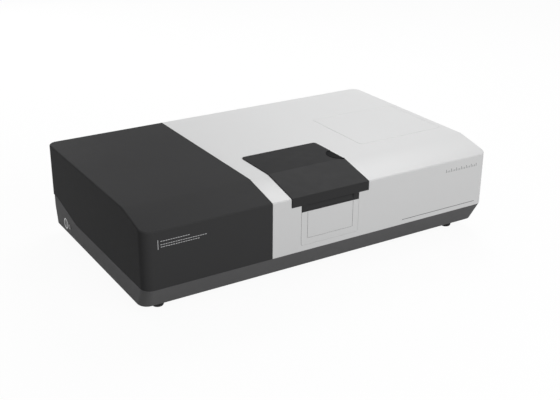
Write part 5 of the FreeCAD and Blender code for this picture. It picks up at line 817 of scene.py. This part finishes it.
def make_filters():
    """Filters in all openings of the wheel but one, each under its retaining ring."""
    centre = middle("filter_wheel")
    centre.y = corners("filter_wheel")[1].y
    rings = bmesh.new()
    for index, coat in enumerate(FILTER_GLASSES):
        turn = math.radians(FILTER_STEP * (index + 1))
        place = centre + Vector((math.cos(turn), 0, math.sin(turn))) * FILTER_PITCH
        turn_profile(rings, FILTER_RING_PROFILE, place, "+Y", FILTER_STEPS, closed=True)
        bm = bmesh.new()
        turn_profile(bm, FILTER_PROFILE, place, "+Y", FILTER_STEPS)
        set_down(bm, coat.name + "_disc", "filters", "window_glass", coat=coat)
    set_down(rings, "filter_rings", "filters", "steel_bright")


def bulb_profile(radius, height):
    """The outer and inner wall of a bulb with a rounded top, closed at the axis."""
    shoulder = height - 0.7 * radius
    inner = radius - BULB_WALL
    return [
        (0.9 * radius, 0), (radius, 2), (radius, shoulder), (0.93 * radius, shoulder + 0.28 * radius),
        (0.7 * radius, shoulder + 0.52 * radius), (0.36 * radius, shoulder + 0.66 * radius), (0, height),
        (0, height - 1.2), (0.34 * radius, shoulder + 0.66 * radius - 1.1), (inner, shoulder), (inner, 2),
        (0.9 * radius - BULB_WALL, 0)]


def make_lamps():
    """Lamps with glass bulbs on ceramic sockets, their electrodes inside."""
    for node, (radius, height, half) in LAMP_SIZES.items():
        centre = middle(node)
        floor = corners(node)[0].z
        collar = floor + SOCKET_HEIGHT
        bm = bmesh.new()
        add_block(bm, (centre.x - half, centre.y - half, floor),
                  (centre.x + half, centre.y + half, collar), SOCKET_EDGE)
        set_down(bm, node + "_socket", "case", "lamp_glass", coat=CERAMIC)
        bm = bmesh.new()
        turn_profile(bm, bulb_profile(radius, height), (centre.x, centre.y, collar), closed=True)
        set_down(bm, node + "_bulb", "case", "lamp_glass", [node])
        bm = bmesh.new()
        wire = 0.06 * radius
        for across in (centre.x - 0.4 * radius, centre.x + 0.4 * radius):
            add_tube(bm, (across, centre.y, collar), (across, centre.y, collar + 0.55 * height), wire)
        plate = Vector((0.45 * radius, 0.3 * radius, 0.125 * height))
        heart = Vector((centre.x, centre.y, collar + 0.575 * height))
        add_block(bm, heart - plate, heart + plate, wire)
        set_down(bm, node + "_electrodes", "case", "motor_metal")


# Electronics

# Control board: the height of the CAD's own parts on it, and the parts added beside them
BOARD_PARTS_HEIGHT = 3
CAPACITORS = 4
CAPACITOR_PITCH = 17
CAPACITORS_FROM_LEFT, CAPACITORS_FROM_REAR = 150, 18
CAPACITOR_PROFILE = [
    (0, 0), (5.6, 0), (5.8, 0.6), (5.4, 1.6), (5.8, 2.4), (5.8, 16), (5.2, 16.8), (4.8, 16.6), (0, 16.6)]
CONNECTORS = 3
CONNECTOR_PITCH = 24
CONNECTOR_INSET = 14
CONNECTOR_LENGTH, CONNECTOR_WIDTH, CONNECTOR_HEIGHT = 18, 10, 9
CONNECTOR_PINS = 6
FIRST_PIN = 2
PIN_PITCH = 2.6
PIN_WIDTH, PIN_LENGTH, PIN_HEIGHT = 1.2, 4, 1.4
SINK_FROM_LEFT, SINK_FROM_REAR = 14, 10
SINK_LENGTH, SINK_WIDTH, SINK_PLATE = 60, 24, 3
FINS = 11
FIN_PITCH = 5.8
FIN_THICKNESS = 1.4
FIN_HEIGHT = 20

# Terminal strip of the power supply: its levels above the supply's floor, its poles and their barriers
STRIP_INSET = 12
STRIP_WIDTH = 12
STRIP_BOTTOM, STRIP_TOP, BARRIER_TOP = 6, 16, 21
POLES = 8
POLE_PITCH = 9.3
FIRST_BARRIER = 15.4
BARRIER_TO_SCREW = 4.7
BARRIER_THICKNESS = 1
STRIP_SCREW = {"radius": 3, "height": 2, "shank": 1.5, "reach": 5}
STRIP_SCREW_PLACE = 6.5


def make_capacitors():
    """A row of capacitors on the control board, each with its crimp."""
    low, high = corners("control_board")
    bm = bmesh.new()
    for column in range(CAPACITORS):
        across = low.x + CAPACITORS_FROM_LEFT + CAPACITOR_PITCH * column
        place = (across, high.y - CAPACITORS_FROM_REAR, high.z - BOARD_PARTS_HEIGHT)
        turn_profile(bm, CAPACITOR_PROFILE, place, "+Z", 32)
    set_down(bm, "capacitors", "case", "button_black")


def make_connectors():
    """Pin connectors at the right edge of the control board."""
    low, high = corners("control_board")
    floor = high.z - BOARD_PARTS_HEIGHT
    top = floor + CONNECTOR_HEIGHT
    left = high.x - CONNECTOR_INSET
    pin_left = left + (CONNECTOR_WIDTH - PIN_LENGTH) / 2
    bm = bmesh.new()
    for row in range(CONNECTORS):
        near = low.y + CONNECTOR_INSET + CONNECTOR_PITCH * row
        add_block(bm, (left, near, floor), (left + CONNECTOR_WIDTH, near + CONNECTOR_LENGTH, top), 0.5)
        for pin in range(CONNECTOR_PINS):
            start = near + FIRST_PIN + PIN_PITCH * pin
            add_block(bm, (pin_left, start, top - 0.2),
                      (pin_left + PIN_LENGTH, start + PIN_WIDTH, top + PIN_HEIGHT))
    set_down(bm, "board_connectors", "case", "plunger_white", coat=CERAMIC)


def make_heat_sink():
    """A finned heat sink at the left end of the control board."""
    low, high = corners("control_board")
    floor = high.z - BOARD_PARTS_HEIGHT
    left, rear = low.x + SINK_FROM_LEFT, high.y - SINK_FROM_REAR
    near = rear - SINK_WIDTH
    bm = bmesh.new()
    add_block(bm, (left, near, floor), (left + SINK_LENGTH, rear, floor + SINK_PLATE), 0.3)
    for fin in range(FINS):
        start = left + 0.5 + FIN_PITCH * fin
        add_block(bm, (start, near, floor + SINK_PLATE - 0.5),
                  (start + FIN_THICKNESS, rear, floor + FIN_HEIGHT), 0.15)
    set_down(bm, "board_heat_sink", "case", "bench_metal")


def make_terminal_strip():
    """Terminal strip at the right end of the power supply: barriers between its poles, and their screws."""
    low, high = corners("power_supply")
    first = low.y + FIRST_BARRIER
    far = high.x + STRIP_WIDTH
    top = low.z + STRIP_TOP
    bm = bmesh.new()
    add_block(bm, (high.x + 0.02, low.y + STRIP_INSET, low.z + STRIP_BOTTOM),
              (far, high.y - STRIP_INSET, top), 0.4)
    for barrier in range(POLES + 1):
        along = first + POLE_PITCH * barrier
        add_block(bm, (high.x + 0.5, along - BARRIER_THICKNESS / 2, top - 1),
                  (far, along + BARRIER_THICKNESS / 2, low.z + BARRIER_TOP), 0.2)
    set_down(bm, "terminal_strip", "case", "inlet_black")
    bm = bmesh.new()
    for pole in range(POLES):
        along = first + BARRIER_TO_SCREW + POLE_PITCH * pole
        add_screw(bm, (high.x + STRIP_SCREW_PLACE, along, top), "+Z", **STRIP_SCREW)
    set_down(bm, "terminal_screws", "case", "steel_bright")


# Softened copies: the width of each node's rounded edges

EDGE_WIDTHS = {
    "left_cover": 0.8, "main_cover": 0.8, "sample_lid": 0.7, "front_panel": 0.35,
    "detector_hatch": 0.35, "port_plug": 0.4, "base_pan": 0.8, "rear_panel": 0.3, "hatch_frame": 0.2,
    "cover_joint_strip": 0.2, "compartment_tub": 0.5, "lid_liner": 0.8, "lid_seal": 0.6, "hinge_pin": 0.1,
    "hinge_leaf": 0.12, "interlock_switch": 0.4, "interlock_plunger": 0.2, "cell_holder_base": 0.8,
    "sample_cell_holder": 0.7, "reference_cell_holder": 0.7, "optical_bench": 1.0, "bench_mounts": 1.2,
    "lamp_housing": 0.4, "source_mirror_motor": 0.8, "source_mirror": 0.3, "filter_wheel": 0.25,
    "filter_motor": 0.8, "slit_plates": 0.3, "concave_mirrors": 0.5, "grating_turret": 0.4, "gratings": 0.4,
    "turret_gear": 0.15, "turret_pinion": 0.15, "turret_motor": 0.8, "chopper_wheel": 0.15,
    "chopper_motor": 0.8, "beam_mirrors": 0.4, "detector_housing": 0.5, "photomultiplier": 0.6,
    "infrared_detector": 0.4, "power_supply": 0.4, "control_board": 0.2, "power_inlet": 0.4,
    "data_ports": 0.2, "fan_frame": 0.6, "beam_windows": 0.2,
}
# Steel in the record, blackened here like the lid
BLACKENED = ("hinge_leaf", "hinge_pin")
# The front panel's walls in front of this depth get a grey of painted shade, so its seams look shaded
SEAM_DEPTH = 2.5
# The inlet's pins lie between these distances from its inner end and its outer face
PIN_INNER, PIN_OUTER = 9.5, 3.3
# The board's own parts begin this far above its surface
PART_RISE = 0.3
# Faces of the lid's top and the mirrors are larger than this, and those of the pins smaller, in square metres
LID_TOP_AREA = 0.001
BEAM_MIRROR_AREA = 0.0006
SOURCE_MIRROR_AREA = 0.0003
PIN_AREA = 0.00003


def finish_cad_nodes():
    """The CAD nodes keep their meshes and get the same finishes."""
    for node, thing in frame["nodes"].items():
        for held in thing.material_slots:
            held.material = COATS[SLOT_OF[node]]


def make_copies():
    """Softened copies of the CAD nodes, some with a second finish on part of their faces; on the lid's top
    and in the front panel's seams that finish is painted shade.
    """
    pieces = {node: finished_copy(node, width) for node, width in EDGE_WIDTHS.items()}
    # Painted shade on the lid's flat top faces
    paint(pieces["sample_lid"], LID_TOP_PAINTED_SHADE,
          lambda centre, normal, area: normal.z > 0.995 and area > LID_TOP_AREA)
    # Painted shade on the front panel's walls in its seams
    seam_end = (corners("front_panel")[0].y + SEAM_DEPTH) * MM
    paint(pieces["front_panel"], SEAM_PAINTED_SHADE,
          lambda centre, normal, area: normal.y > -0.3 and centre.y < seam_end)
    mirror = COATS["mirror_coat"]
    paint(pieces["beam_mirrors"], mirror,
          lambda centre, normal, area: abs(normal.z) < 0.1 and area > BEAM_MIRROR_AREA)
    paint(pieces["source_mirror"], mirror,
          lambda centre, normal, area: abs(normal.y) > 0.9 and area > SOURCE_MIRROR_AREA)
    paint(pieces["concave_mirrors"], mirror, lambda centre, normal, area: normal.y > 0.9)
    low, high = corners("power_inlet")
    pin_start, pin_end = (low.y + PIN_INNER) * MM, (high.y - PIN_OUTER) * MM
    paint(pieces["power_inlet"], COATS["steel_bright"],
          lambda centre, normal, area: pin_start < centre.y < pin_end and area < PIN_AREA)
    parts_start = (corners("control_board")[1].z - BOARD_PARTS_HEIGHT + PART_RISE) * MM
    paint(pieces["control_board"], COATS["inlet_black"], lambda centre, normal, area: centre.z > parts_start)


# Camera and studio

def make_camera():
    """The photograph's camera, turned by its azimuth, elevation and roll."""
    data = bpy.data.cameras.new("camera")
    data.lens = CAMERA_LENS
    data.sensor_width = SENSOR_WIDTH
    camera = bpy.data.objects.new("camera", data)
    bpy.context.scene.collection.objects.link(camera)
    turn, rise = CAMERA_AZIMUTH, CAMERA_ELEVATION
    back = Vector((math.sin(turn) * math.cos(rise), -math.cos(turn) * math.cos(rise), math.sin(rise)))
    level = Vector((math.cos(turn), math.sin(turn), 0))
    up = back.cross(level)
    across = math.cos(CAMERA_ROLL) * level + math.sin(CAMERA_ROLL) * up
    above = -math.sin(CAMERA_ROLL) * level + math.cos(CAMERA_ROLL) * up
    rotation = Matrix((across, above, back)).transposed()
    camera.matrix_world = Matrix.Translation(CAMERA_PLACE) @ rotation.to_4x4()
    bpy.context.scene.camera = camera


def seen_ray(owner):
    """1 for rays that show the background: those of the camera, of reflections and through glass."""
    path = add(owner, "ShaderNodeLightPath")
    seen = path.outputs["Is Camera Ray"]
    for ray in ("Is Glossy Ray", "Is Transmission Ray"):
        larger = add(owner, "ShaderNodeMath", operation="MAXIMUM")
        join(owner, seen, larger.inputs[0])
        join(owner, path.outputs[ray], larger.inputs[1])
        seen = larger.outputs[0]
    return seen


def mix_shaders(owner, share, first, second, output):
    """Mix two shaders by a share and send them to the surface of an output node."""
    mix = add(owner, "ShaderNodeMixShader")
    for index, source in enumerate((share, first.outputs[0], second.outputs[0])):
        join(owner, source, mix.inputs[index])
    join(owner, mix.outputs[0], add(owner, output).inputs["Surface"])


def make_background():
    """White where it is seen, and a plain soft light for everything else."""
    world = bpy.data.worlds.new("studio")
    world.use_nodes = True
    world.node_tree.nodes.clear()
    sky = add(world, "ShaderNodeBackground")
    sky.inputs["Color"].default_value = (1, 1, 1, 1)
    sky.inputs["Strength"].default_value = SKY_LEVEL
    white = add(world, "ShaderNodeBackground")
    white.inputs["Color"].default_value = (1, 1, 1, 1)
    mix_shaders(world, seen_ray(world), sky, white, "ShaderNodeOutputWorld")
    bpy.context.scene.world = world


def make_floor():
    """A pale floor that keeps the object's shadow."""
    coat = new_coat("floor_white")
    matte = add(coat, "ShaderNodeBsdfDiffuse")
    matte.inputs["Color"].default_value = (FLOOR_COLOUR, FLOOR_COLOUR, FLOOR_COLOUR, 1)
    glow = add(coat, "ShaderNodeEmission")
    glow.inputs["Strength"].default_value = GLOW_LEVEL
    share = add(coat, "ShaderNodeMath", operation="MULTIPLY")
    share.inputs[1].default_value = FLOOR_GLOW
    join(coat, seen_ray(coat), share.inputs[0])
    mix_shaders(coat, share.outputs[0], matte, glow, "ShaderNodeOutputMaterial")
    bm = bmesh.new()
    bmesh.ops.create_grid(bm, x_segments=1, y_segments=1, size=FLOOR_REACH)
    mesh = bpy.data.meshes.new("floor")
    bm.to_mesh(mesh)
    bm.free()
    mesh.materials.append(coat)
    floor = bpy.data.objects.new("floor", mesh)
    bpy.context.scene.collection.objects.link(floor)


def make_soft_lamps():
    """Square soft lamps that look at the object."""
    for name, (place, side, power) in LAMPS.items():
        data = bpy.data.lights.new(name, "AREA")
        data.shape = "SQUARE"
        data.size = side
        data.energy = power
        lamp = bpy.data.objects.new(name, data)
        lamp.location = place
        lamp.rotation_mode = "QUATERNION"
        lamp.rotation_quaternion = (LAMP_TARGET - Vector(place)).to_track_quat("-Z", "Y")
        bpy.context.scene.collection.objects.link(lamp)


make_camera()
make_background()
make_floor()
make_soft_lamps()
make_feet()
make_foot_screws()
make_case_screws()
make_power_switch()
make_fuse_holder()
make_fan_guard()
make_fan_rotor()
make_port_tongues()
make_marks()
make_window_bezels()
make_thumb_screws()
make_cell_springs()
make_scoop()
make_filters()
make_capacitors()
make_connectors()
make_heat_sink()
make_terminal_strip()
make_lamps()
make_copies()
finish_cad_nodes()
bpy.context.scene.view_settings.view_transform = "Standard"
